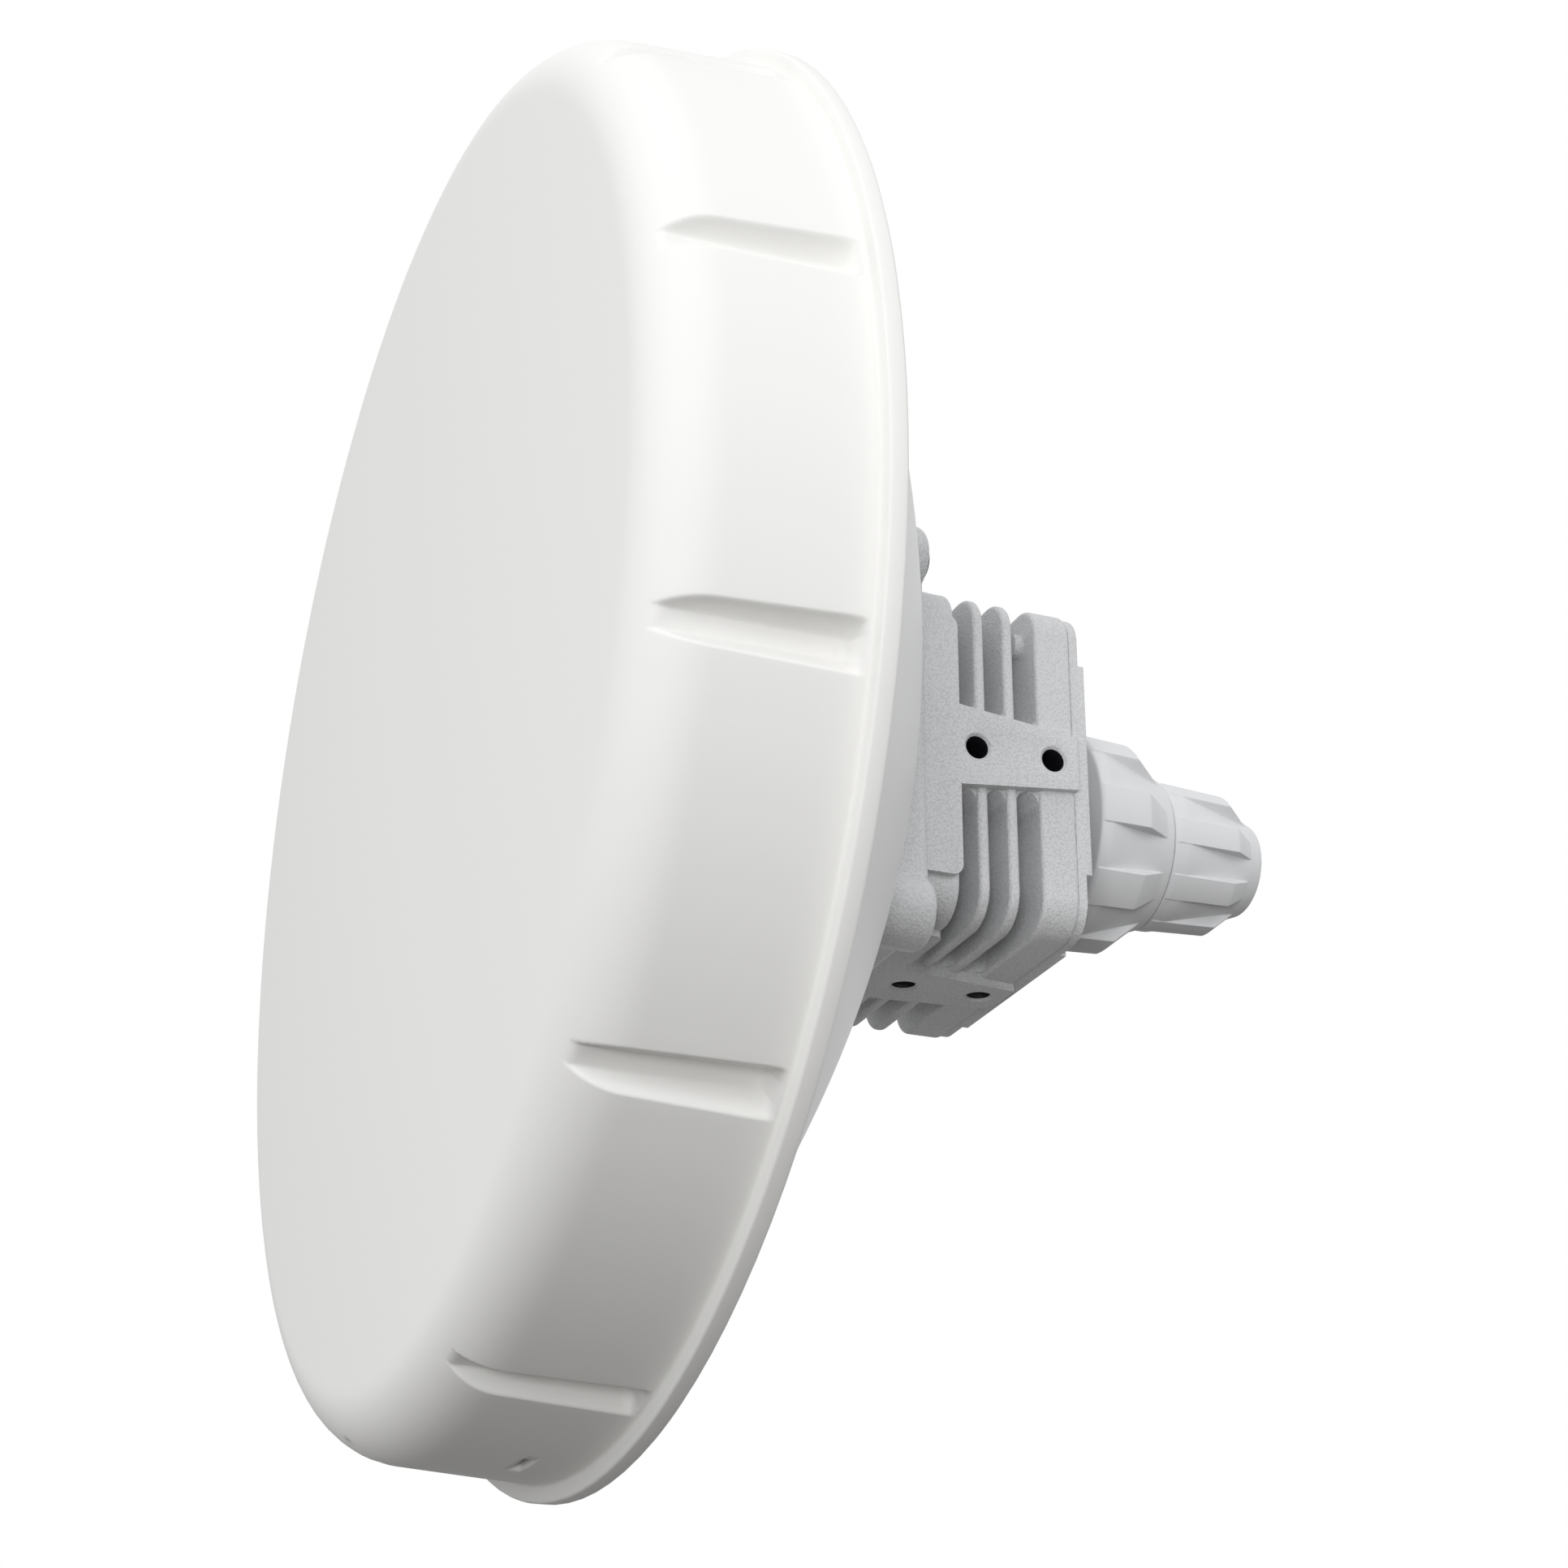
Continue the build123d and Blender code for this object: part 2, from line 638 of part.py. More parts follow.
with BuildPart() as cable_seal:
    with BuildSketch(Plane.XY):
        with BuildLine():
            Polyline((cable_radius, 43.0), (7.5, 43.0), (7.5, 54.0), (6.4, 56.4),
                     (cable_radius, 56.4), close=True)
        make_face()
    revolve(axis=Axis.Y)
cable_seal.part.label = "cable_seal"

# split ring that the cap nut drives against the seal
ring_back_y = 59.4
with BuildPart() as clamp_ring:
    with BuildSketch(Plane.XY):
        with BuildLine():
            Polyline((6.5, 56.8), (8.8, 56.8), (8.8, ring_back_y - 1.2),
                     (7.6, ring_back_y), (6.5, ring_back_y), close=True)
        make_face()
    revolve(axis=Axis.Y)
    with Locations((0, 57.4, 7.6)):
        Box(0.8, 1.6, 4, mode=Mode.SUBTRACT)
clamp_ring.part.label = "clamp_ring"

rib_count = 8
rib_half_angle = 10.5

# large lock nut
lock_base_front = 20.0
lock_taper_y = 25.5
lock_base_back = 14.3
lock_top = 20.3

with BuildPart() as lock_nut:
    with BuildSketch(Plane.XY):
        with BuildLine():
            Polyline((0, lock_nut_front_y), (lock_base_front, lock_nut_front_y),
                     (lock_base_front, lock_taper_y), (lock_base_back, seam_y),
                     (0, seam_y), close=True)
        make_face()
    revolve(axis=Axis.Y)
    for k in range(rib_count):
        with BuildSketch(Plane.XY.rotated((0, 45 * k + rib_half_angle, 0))):
            with BuildLine():
                Polyline((6.0, lock_nut_front_y), (lock_top, lock_nut_front_y),
                         (lock_top - 0.5, seam_y - 7.8), (lock_base_back + 0.3, seam_y - 1.6),
                         (6.0, seam_y - 1.6), close=True)
            make_face()
        revolve(axis=Axis.Y, revolution_arc=-2 * rib_half_angle)
    with BuildSketch(facing_back(lock_nut_front_y)):
        Circle(collar_radius + running_gap)
    extrude(amount=shoulder_y - lock_nut_front_y, mode=Mode.SUBTRACT)
    with BuildSketch(facing_back(shoulder_y)):
        Circle(neck_radius + free_gap)
    extrude(amount=seam_y - shoulder_y, mode=Mode.SUBTRACT)
lock_nut.part.label = "lock_nut"

# small cap nut with the cable mouth
cap_front_y = seam_y + 0.35
cap_base_front = 13.9
cap_taper_y = 44.4
cap_base_back = 9.6
cap_top = 14.1
mouth_radius = 6.8

with BuildPart() as cap_nut:
    with BuildSketch(Plane.XY):
        with BuildLine():
            Polyline((0, cap_front_y), (cap_base_front, cap_front_y),
                     (cap_base_front, cap_taper_y), (cap_base_back, cap_nut_end_y - 2.6))
            TangentArc((cap_base_back, cap_nut_end_y - 2.6), (8.0, cap_nut_end_y),
                       tangent=(cap_base_back - cap_base_front,
                                cap_nut_end_y - 2.6 - cap_taper_y))
            Polyline((8.0, cap_nut_end_y), (0, cap_nut_end_y), (0, cap_front_y))
        make_face()
    revolve(axis=Axis.Y)
    for k in range(rib_count):
        with BuildSketch(Plane.XY.rotated((0, 45 * k + rib_half_angle, 0))):
            with BuildLine():
                Polyline((6.0, cap_front_y), (cap_top, cap_front_y),
                         (cap_top - 0.7, cap_front_y + 13.6),
                         (cap_base_back + 0.3, cap_front_y + 18),
                         (6.0, cap_front_y + 18), close=True)
            make_face()
        revolve(axis=Axis.Y, revolution_arc=-2 * rib_half_angle)
    with BuildSketch(facing_back(cap_front_y)):
        Circle(neck_radius + running_gap)
    extrude(amount=neck_end_y + 5.0 - cap_front_y, mode=Mode.SUBTRACT)
    with BuildSketch(Plane.XY):
        with BuildLine():
            Polyline((0, neck_end_y + 5.0), (neck_radius + running_gap, neck_end_y + 5.0),
                     (7.6, ring_back_y + 0.05), (0, ring_back_y + 0.05), close=True)
        make_face()
    revolve(axis=Axis.Y, mode=Mode.SUBTRACT)
    with BuildSketch(facing_back(cap_nut_end_y)):
        Circle(mouth_radius)
    extrude(amount=-4, mode=Mode.SUBTRACT)
cap_nut.part.label = "cap_nut"

# ---- files -------------------------------------------------------------------------
export_step(radome.part, "parts/radome.step")
export_step(reflector.part, "parts/reflector.step")
export_step(feed_tube.part, "parts/feed_tube.step")
export_step(dielectric_cone.part, "parts/dielectric_cone.step")
export_step(sub_reflector.part, "parts/sub_reflector.step")
export_step(housing.part, "parts/housing.step")
export_step(front_gasket.part, "parts/front_gasket.step")
export_step(housing_screws.part, "parts/housing_screws.step")
export_step(housing_nuts.part, "parts/housing_nuts.step")
export_step(radio_board.part, "parts/radio_board.step")
export_step(radio_shield.part, "parts/radio_shield.step")
export_step(radio_chip.part, "parts/radio_chip.step")
export_step(radio_pad.part, "parts/radio_pad.step")
export_step(radio_screws.part, "parts/radio_screws.step")
export_step(flex_cable.part, "parts/flex_cable.step")
export_step(main_board.part, "parts/main_board.step")
export_step(cpu_chip.part, "parts/cpu_chip.step")
export_step(cpu_pad.part, "parts/cpu_pad.step")
export_step(board_screws.part, "parts/board_screws.step")
export_step(ethernet_jack.part, "parts/ethernet_jack.step")
export_step(jack_contacts.part, "parts/jack_contacts.step")
export_step(status_leds.part, "parts/status_leds.step")
export_step(reset_switch.part, "parts/reset_switch.step")
export_step(reset_button.part, "parts/reset_button.step")
export_step(rear_cover.part, "parts/rear_cover.step")
export_step(rear_gasket.part, "parts/rear_gasket.step")
export_step(cover_screws.part, "parts/cover_screws.step")
export_step(collar_seal.part, "parts/collar_seal.step")
export_step(gland_sleeve.part, "parts/gland_sleeve.step")
export_step(cable_seal.part, "parts/cable_seal.step")
export_step(clamp_ring.part, "parts/clamp_ring.step")
export_step(lock_nut.part, "parts/lock_nut.step")
export_step(cap_nut.part, "parts/cap_nut.step")
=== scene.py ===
"""Looks of an outdoor wireless bridge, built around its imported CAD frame.

Lengths inside the classes are millimetres; MM turns them into metres when a mesh is made.
The dish axis is Y, the radome looks towards -Y and +Z is up.
"""
import logging
import math
from dataclasses import dataclass, field
from enum import Enum

import bmesh
import bpy
import numpy as np
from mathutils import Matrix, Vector


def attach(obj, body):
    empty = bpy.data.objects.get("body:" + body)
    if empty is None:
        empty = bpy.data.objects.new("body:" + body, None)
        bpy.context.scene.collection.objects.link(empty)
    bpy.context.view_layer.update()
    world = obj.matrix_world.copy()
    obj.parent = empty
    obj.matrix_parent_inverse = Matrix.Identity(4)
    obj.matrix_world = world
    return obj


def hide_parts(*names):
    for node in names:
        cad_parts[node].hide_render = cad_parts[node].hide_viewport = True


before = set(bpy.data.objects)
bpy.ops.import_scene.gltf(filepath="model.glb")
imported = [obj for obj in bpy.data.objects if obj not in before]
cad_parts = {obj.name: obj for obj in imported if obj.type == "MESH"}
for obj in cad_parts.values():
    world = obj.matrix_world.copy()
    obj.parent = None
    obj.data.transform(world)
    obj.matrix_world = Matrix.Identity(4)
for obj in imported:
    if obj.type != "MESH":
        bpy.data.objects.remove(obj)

LOG = logging.getLogger("bridge")
MM = 0.001
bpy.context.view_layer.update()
Colour = tuple[float, float, float]


# ---- node groups -----------------------------------------------------------------

class Tree:
    """A thin wrapper that adds and links shader nodes."""

    def __init__(self, tree: bpy.types.NodeTree) -> None:
        """Keep the tree that nodes are added to."""
        self.tree = tree

    def add(self, kind: str, **settings: object) -> bpy.types.Node:
        """Add a node.

        Args:
            kind: the node's type name.
            **settings: attributes to set on the node.

        Returns:
            The new node.
        """
        node = self.tree.nodes.new(kind)
        for name, value in settings.items():
            setattr(node, name, value)
        return node

    def feed(self, socket: bpy.types.NodeSocket, value: object) -> None:
        """Link a socket into another, or set a plain value on it.

        Args:
            socket: the input to fill.
            value: an output socket, a number or a colour.
        """
        if isinstance(value, bpy.types.NodeSocket):
            self.tree.links.new(value, socket)
        elif isinstance(value, tuple) and len(value) == 3 and socket.type == "RGBA":
            socket.default_value = (*value, 1.0)
        else:
            socket.default_value = value

    def math(self, operation: str, *values: object, clamp: bool = False) -> bpy.types.NodeSocket:
        """Add a Math node.

        Args:
            operation: the Math node's operation.
            *values: its inputs, sockets or numbers.
            clamp: whether the result is held between 0 and 1.

        Returns:
            The node's output.
        """
        node = self.add("ShaderNodeMath", operation=operation, use_clamp=clamp)
        for socket, value in zip(node.inputs, values):
            self.feed(socket, value)
        return node.outputs[0]

    def blend(self, factor: object, first: object, second: object) -> bpy.types.NodeSocket:
        """Mix two colours.

        Args:
            factor: how much of the second colour.
            first: the first colour.
            second: the second colour.

        Returns:
            The mixed colour.
        """
        node = self.add("ShaderNodeMix", data_type="RGBA")
        self.feed(node.inputs[0], factor)
        self.feed(node.inputs[6], first)
        self.feed(node.inputs[7], second)
        return node.outputs[2]

    def noise(self, vector: object, scale: object, detail: float = 3.0,
              rough: float = 0.55) -> bpy.types.NodeSocket:
        """Add a noise texture.

        Args:
            vector: where it is read.
            scale: its scale in 1/m.
            detail: octaves.
            rough: how strong the finer octaves are.

        Returns:
            The noise value, about 0 to 1.
        """
        node = self.add("ShaderNodeTexNoise")
        self.feed(node.inputs["Vector"], vector)
        self.feed(node.inputs["Scale"], scale)
        node.inputs["Detail"].default_value = detail
        node.inputs["Roughness"].default_value = rough
        return node.outputs["Fac"]

    def ramp(self, value: object, low: float, high: float) -> bpy.types.NodeSocket:
        """Stretch a value so that low becomes 0 and high becomes 1.

        Args:
            value: the socket to stretch.
            low: the input that gives 0.
            high: the input that gives 1.

        Returns:
            The stretched, clamped value.
        """
        node = self.add("ShaderNodeMapRange", interpolation_type="SMOOTHSTEP")
        self.feed(node.inputs["Value"], value)
        node.inputs["From Min"].default_value = low
        node.inputs["From Max"].default_value = high
        return node.outputs["Result"]


def new_group(name: str, inputs: list[tuple[str, str, object]],
              outputs: list[tuple[str, str]]) -> tuple[Tree, bpy.types.Node, bpy.types.Node]:
    """Start a shader node group.

    Args:
        name: the group's name.
        inputs: socket name, socket type and default for each input.
        outputs: socket name and type for each output.

    Returns:
        The group's tree, its input node and its output node.
    """
    group = bpy.data.node_groups.new(name, "ShaderNodeTree")
    for label, kind, default in inputs:
        socket = group.interface.new_socket(label, in_out="INPUT", socket_type=kind)
        if default is not None:
            socket.default_value = default
    for label, kind in outputs:
        group.interface.new_socket(label, in_out="OUTPUT", socket_type=kind)
    tree = Tree(group)
    return tree, tree.add("NodeGroupInput"), tree.add("NodeGroupOutput")


FLOAT = "NodeSocketFloat"
VECTOR = "NodeSocketVector"
COLOUR = "NodeSocketColor"


def grain_group() -> bpy.types.NodeTree:
    """Fine grain of a moulded, eroded or coated surface.

    Height is rounded cells of the given size with finer noise on top; Speck is a sparse
    mask of the cells' tops.

    Returns:
        The node group.
    """
    tree, source, sink = new_group(
        "surface_grain",
        [("Vector", VECTOR, None), ("Size", FLOAT, 0.0005), ("Coarseness", FLOAT, 0.5)],
        [("Height", FLOAT), ("Speck", FLOAT)])
    scale = tree.math("DIVIDE", 1.0, source.outputs["Size"])
    cells = tree.add("ShaderNodeTexVoronoi", feature="SMOOTH_F1")
    tree.feed(cells.inputs["Vector"], source.outputs["Vector"])
    tree.feed(cells.inputs["Scale"], scale)
    cells.inputs["Smoothness"].default_value = 0.6
    bumps = tree.math("SUBTRACT", 1.0, cells.outputs["Distance"])
    fine = tree.noise(source.outputs["Vector"], scale, 4.0, 0.6)
    coarse = tree.math("MULTIPLY", bumps, source.outputs["Coarseness"])
    height = tree.math("ADD", coarse, tree.math("MULTIPLY", fine, 0.7))
    tree.feed(sink.inputs["Height"], height)
    tree.feed(sink.inputs["Speck"], tree.ramp(height, 0.62, 0.95))
    return tree.tree


def drift_group() -> bpy.types.NodeTree:
    """Slow change of tone over a surface, between two near colours.

    Returns:
        The node group.
    """
    tree, source, sink = new_group(
        "tone_drift",
        [("Vector", VECTOR, None), ("Colour", COLOUR, (1, 1, 1, 1)),
         ("Second", COLOUR, (1, 1, 1, 1)), ("Size", FLOAT, 0.05)],
        [("Colour", COLOUR), ("Mask", FLOAT)])
    scale = tree.math("DIVIDE", 1.0, source.outputs["Size"])
    mask = tree.ramp(tree.noise(source.outputs["Vector"], scale, 5.0, 0.6), 0.32, 0.7)
    tree.feed(sink.inputs["Colour"],
              tree.blend(mask, source.outputs["Colour"], source.outputs["Second"]))
    tree.feed(sink.inputs["Mask"], mask)
    return tree.tree


def dust_group() -> bpy.types.NodeTree:
    """Dust that settles in patches on faces that look up.

    The mask is the upward part of the normal, raised to a power, times patchy noise.

    Returns:
        The node group.
    """
    tree, source, sink = new_group(
        "settled_dust",
        [("Vector", VECTOR, None), ("Normal", VECTOR, None), ("Colour", COLOUR, (1, 1, 1, 1)),
         ("Dust", COLOUR, (0.5, 0.47, 0.42, 1)), ("Amount", FLOAT, 0.1),
         ("Roughness", FLOAT, 0.4)],
        [("Colour", COLOUR), ("Roughness", FLOAT)])
    parts = tree.add("ShaderNodeSeparateXYZ")
    tree.feed(parts.inputs[0], source.outputs["Normal"])
    up = tree.math("POWER", tree.math("MAXIMUM", parts.outputs["Z"], 0.0), 1.6)
    patch = tree.ramp(tree.noise(source.outputs["Vector"], 60.0, 6.0, 0.65), 0.35, 0.75)
    mask = tree.math("MULTIPLY", tree.math("MULTIPLY", up, patch), source.outputs["Amount"],
                     clamp=True)
    tree.feed(sink.inputs["Colour"],
              tree.blend(mask, source.outputs["Colour"], source.outputs["Dust"]))
    tree.feed(sink.inputs["Roughness"],
              tree.math("ADD", source.outputs["Roughness"],
                        tree.math("MULTIPLY", mask, 0.35), clamp=True))
    return tree.tree


def rings_group() -> bpy.types.NodeTree:
    """Turning marks: fine rings round the Y axis, broken up by noise.

    Height is the sine of the distance from the axis divided by the pitch.

    Returns:
        The node group.
    """
    tree, source, sink = new_group(
        "turning_marks",
        [("Vector", VECTOR, None), ("Pitch", FLOAT, 0.0003)],
        [("Height", FLOAT)])
    parts = tree.add("ShaderNodeSeparateXYZ")
    tree.feed(parts.inputs[0], source.outputs["Vector"])
    square = tree.math("ADD", tree.math("POWER", parts.outputs["X"], 2.0),
                       tree.math("POWER", parts.outputs["Z"], 2.0))
    radius = tree.math("ADD", tree.math("SQRT", square), parts.outputs["Y"])
    turns = tree.math("DIVIDE", tree.math("MULTIPLY", radius, math.tau),
                      source.outputs["Pitch"])
    wave = tree.math("SINE", turns)
    broken = tree.noise(source.outputs["Vector"], 900.0, 3.0, 0.6)
    tree.feed(sink.inputs["Height"],
              tree.math("ADD", tree.math("MULTIPLY", wave, 0.3), broken))
    return tree.tree


def traces_group() -> bpy.types.NodeTree:
    """Copper tracks under solder mask: a mask of thin straight runs and round pads.

    Returns:
        The node group.
    """
    tree, source, sink = new_group(
        "copper_tracks",
        [("Vector", VECTOR, None), ("Size", FLOAT, 0.004)],
        [("Mask", FLOAT), ("Pads", FLOAT)])
    turn = tree.add("ShaderNodeMapping")
    tree.feed(turn.inputs["Vector"], source.outputs["Vector"])
    turn.inputs["Rotation"].default_value = (math.pi / 2, 0.0, 0.0)
    scale = tree.math("DIVIDE", 1.0, source.outputs["Size"])
    brick = tree.add("ShaderNodeTexBrick", offset=0.37, squash=0.6, squash_frequency=3)
    tree.feed(brick.inputs["Vector"], turn.outputs["Vector"])
    tree.feed(brick.inputs["Scale"], scale)
    brick.inputs["Mortar Size"].default_value = 0.03
    brick.inputs["Mortar Smooth"].default_value = 0.1
    cells = tree.add("ShaderNodeTexVoronoi", feature="F1")
    tree.feed(cells.inputs["Vector"], turn.outputs["Vector"])
    tree.feed(cells.inputs["Scale"], scale)
    cells.inputs["Randomness"].default_value = 0.4
    tree.feed(sink.inputs["Mask"], brick.outputs["Fac"])
    tree.feed(sink.inputs["Pads"],
              tree.math("LESS_THAN", cells.outputs["Distance"], 0.14))
    return tree.tree


GRAIN = grain_group()
DRIFT = drift_group()
DUST = dust_group()
RINGS = rings_group()
TRACES = traces_group()


# ---- finishes --------------------------------------------------------------------

class Pattern(Enum):
    """What runs over a finish besides its grain."""

    PLAIN = "plain"
    TURNED = "turned"
    TRACKS = "tracks"


@dataclass(frozen=True)
class Finish:
    """One procedural material. Sizes are in millimetres.

    The colour drifts to the second one over the drift size. Relief is the height of the
    grain. The extra colour is for the pads on a board, or is a near-black painted shade
    that darkens the insides of tapped holes.
    """

    name: str
    colour: Colour
    second: Colour
    roughness: float
    grain: float = 0.4
    coarseness: float = 0.5
    relief: float = 0.02
    drift: float = 60.0
    metallic: float = 0.0
    coat: float = 0.0
    dust: float = 0.0
    speck: Colour | None = None
    pattern: Pattern = Pattern.PLAIN
    pad_colour_or_bore_shade: Colour = (0.6, 0.45, 0.2)
    paint_bore_shade: bool = False

    def material(self) -> bpy.types.Material:
        """Build the material once and reuse it.

        Returns:
            The material of this finish.
        """
        known = bpy.data.materials.get(self.name)
        if known is not None:
            return known
        made = bpy.data.materials.new(self.name)
        made.use_nodes = True
        made.node_tree.nodes.clear()
        tree = Tree(made.node_tree)
        shader = tree.add("ShaderNodeBsdfPrincipled")
        sheet = tree.add("ShaderNodeOutputMaterial")
        tree.feed(sheet.inputs["Surface"], shader.outputs[0])
        place = tree.add("ShaderNodeTexCoord")
        spot = place.outputs["Object"]

        grain = tree.add("ShaderNodeGroup", node_tree=GRAIN)
        tree.feed(grain.inputs["Vector"], spot)
        grain.inputs["Size"].default_value = self.grain * MM
        grain.inputs["Coarseness"].default_value = self.coarseness
        drift = tree.add("ShaderNodeGroup", node_tree=DRIFT)
        tree.feed(drift.inputs["Vector"], spot)
        tree.feed(drift.inputs["Colour"], self.colour)
        tree.feed(drift.inputs["Second"], self.second)
        drift.inputs["Size"].default_value = self.drift * MM
        colour = drift.outputs["Colour"]
        height = grain.outputs["Height"]
        if self.speck is not None:
            colour = tree.blend(grain.outputs["Speck"], colour, self.speck)
        if self.pattern is Pattern.TURNED:
            marks = tree.add("ShaderNodeGroup", node_tree=RINGS)
            tree.feed(marks.inputs["Vector"], spot)
            marks.inputs["Pitch"].default_value = self.grain * MM
            height = marks.outputs["Height"]
        if self.pattern is Pattern.TRACKS:
            tracks = tree.add("ShaderNodeGroup", node_tree=TRACES)
            tree.feed(tracks.inputs["Vector"], spot)
            colour = tree.blend(tracks.outputs["Mask"], colour, self.second)
            colour = tree.blend(tracks.outputs["Pads"], colour, self.pad_colour_or_bore_shade)
            height = tree.math("ADD", height, tracks.outputs["Mask"])
        # Painted shade: faces marked bore_shade take the near-black extra colour, so the tapped
        # holes read dark as if shade falls in them.
        if self.paint_bore_shade:
            inside = tree.add("ShaderNodeAttribute", attribute_name="bore_shade")
            colour = tree.blend(inside.outputs["Fac"], colour, self.pad_colour_or_bore_shade)
        rough = tree.math("ADD", self.roughness - 0.04,
                          tree.math("MULTIPLY", drift.outputs["Mask"], 0.08))
        if self.dust > 0:
            dust = tree.add("ShaderNodeGroup", node_tree=DUST)
            tree.feed(dust.inputs["Vector"], spot)
            tree.feed(dust.inputs["Normal"], place.outputs["Normal"])
            tree.feed(dust.inputs["Colour"], colour)
            dust.inputs["Amount"].default_value = self.dust
            tree.feed(dust.inputs["Roughness"], rough)
            colour = dust.outputs["Colour"]
            rough = dust.outputs["Roughness"]
        tree.feed(shader.inputs["Base Color"], colour)
        tree.feed(shader.inputs["Roughness"], rough)
        shader.inputs["Metallic"].default_value = self.metallic
        shader.inputs["Coat Weight"].default_value = self.coat
        shader.inputs["Coat Roughness"].default_value = 0.25
        bump = tree.add("ShaderNodeBump")
        bump.inputs["Strength"].default_value = 1.0
        bump.inputs["Distance"].default_value = self.relief * MM
        tree.feed(bump.inputs["Height"], height)
        tree.feed(shader.inputs["Normal"], bump.outputs["Normal"])
        return made

    def dress(self, piece: bpy.types.Object) -> None:
        """Give a piece this finish as its only material."""
        piece.data.materials.clear()
        piece.data.materials.append(self.material())


RADOME_PLASTIC = Finish("radome_plastic", (0.80, 0.785, 0.765), (0.775, 0.76, 0.74), 0.42,
                        grain=0.35, relief=0.006, drift=90, dust=0.05)
DISH_PAINT = Finish("dish_paint", (0.63, 0.635, 0.64), (0.60, 0.605, 0.61), 0.40,
                    grain=1.4, coarseness=0.9, relief=0.012, drift=70, dust=0.06)
# The extra colour here is painted shade, near black, inside the tapped pad holes.
POWDER_COAT_WITH_BORE_SHADE = Finish("powder_coat_with_bore_shade", (0.60, 0.605, 0.615), (0.575, 0.58, 0.59), 0.50,
                     grain=0.42, coarseness=0.9, relief=0.11, drift=25, dust=0.06,
                     speck=(0.68, 0.685, 0.695), pad_colour_or_bore_shade=(0.006, 0.006, 0.009), paint_bore_shade=True)
GLAND_PLASTIC = Finish("gland_plastic", (0.60, 0.615, 0.625), (0.57, 0.585, 0.595), 0.45,
                       grain=0.3, relief=0.008, drift=30, dust=0.06)
# Near black beyond the steel's own colour: partly dark steel, partly painted shade for the
# recesses round the screw heads.
DARK_STEEL_PAINTED_SHADE = Finish("dark_steel_painted_shade", (0.030, 0.030, 0.033), (0.050, 0.050, 0.054), 0.45,
                    grain=0.25, relief=0.01, drift=3, metallic=0.6,
                    pattern=Pattern.TURNED)
PLAIN_STEEL = Finish("plain_steel", (0.52, 0.51, 0.50), (0.42, 0.41, 0.40), 0.34,
                     grain=0.25, relief=0.01, drift=3, metallic=1.0,
                     pattern=Pattern.TURNED)
TURNED_ALUMINIUM = Finish("turned_aluminium", (0.78, 0.78, 0.79), (0.70, 0.70, 0.71), 0.30,
                          grain=0.4, relief=0.012, drift=20, metallic=1.0,
                          pattern=Pattern.TURNED)
TINNED_SHEET = Finish("tinned_sheet", (0.68, 0.67, 0.65), (0.55, 0.54, 0.52), 0.32,
                      grain=0.6, relief=0.01, drift=8, metallic=1.0)
SEAL_RUBBER = Finish("seal_rubber", (0.022, 0.022, 0.024), (0.032, 0.032, 0.034), 0.68,
                     grain=0.35, coarseness=0.8, relief=0.03, drift=8, dust=0.15)
SOLDER_MASK = Finish("solder_mask", (0.010, 0.085, 0.035), (0.020, 0.14, 0.055), 0.30,
                     grain=0.5, relief=0.02, drift=12, coat=0.3, pattern=Pattern.TRACKS,
                     pad_colour_or_bore_shade=(0.62, 0.50, 0.26))
CHIP_MOULD = Finish("chip_mould", (0.018, 0.018, 0.020), (0.028, 0.028, 0.030), 0.55,
                    grain=0.12, coarseness=0.8, relief=0.012, drift=4,
                    speck=(0.04, 0.04, 0.045))
HEAT_PAD = Finish("heat_pad", (0.22, 0.30, 0.42), (0.26, 0.34, 0.46), 0.75,
                  grain=0.5, coarseness=0.9, relief=0.04, drift=5)
AMBER_FILM = Finish("amber_film", (0.36, 0.17, 0.03), (0.30, 0.13, 0.02), 0.28,
                    grain=0.8, relief=0.01, drift=6, coat=0.3)
SOCKET_BLACK = Finish("socket_black", (0.020, 0.020, 0.022), (0.030, 0.030, 0.032), 0.45,
                      grain=0.2, relief=0.01, drift=6)
CONTACT_GOLD = Finish("contact_gold", (0.82, 0.60, 0.22), (0.72, 0.50, 0.18), 0.25,
                      grain=0.1, relief=0.003, drift=2, metallic=1.0)
LED_LENS = Finish("led_lens", (0.62, 0.80, 0.62), (0.70, 0.86, 0.70), 0.15,
                  grain=0.2, relief=0.002, drift=1, coat=0.5)
IVORY_PLUNGER = Finish("ivory_plunger", (0.66, 0.62, 0.52), (0.60, 0.56, 0.46), 0.45,
                       grain=0.1, relief=0.004, drift=1)
CONE_PLASTIC = Finish("cone_plastic", (0.78, 0.76, 0.70), (0.72, 0.70, 0.64), 0.40,
                      grain=0.4, relief=0.008, drift=15)


# ---- shapes ----------------------------------------------------------------------

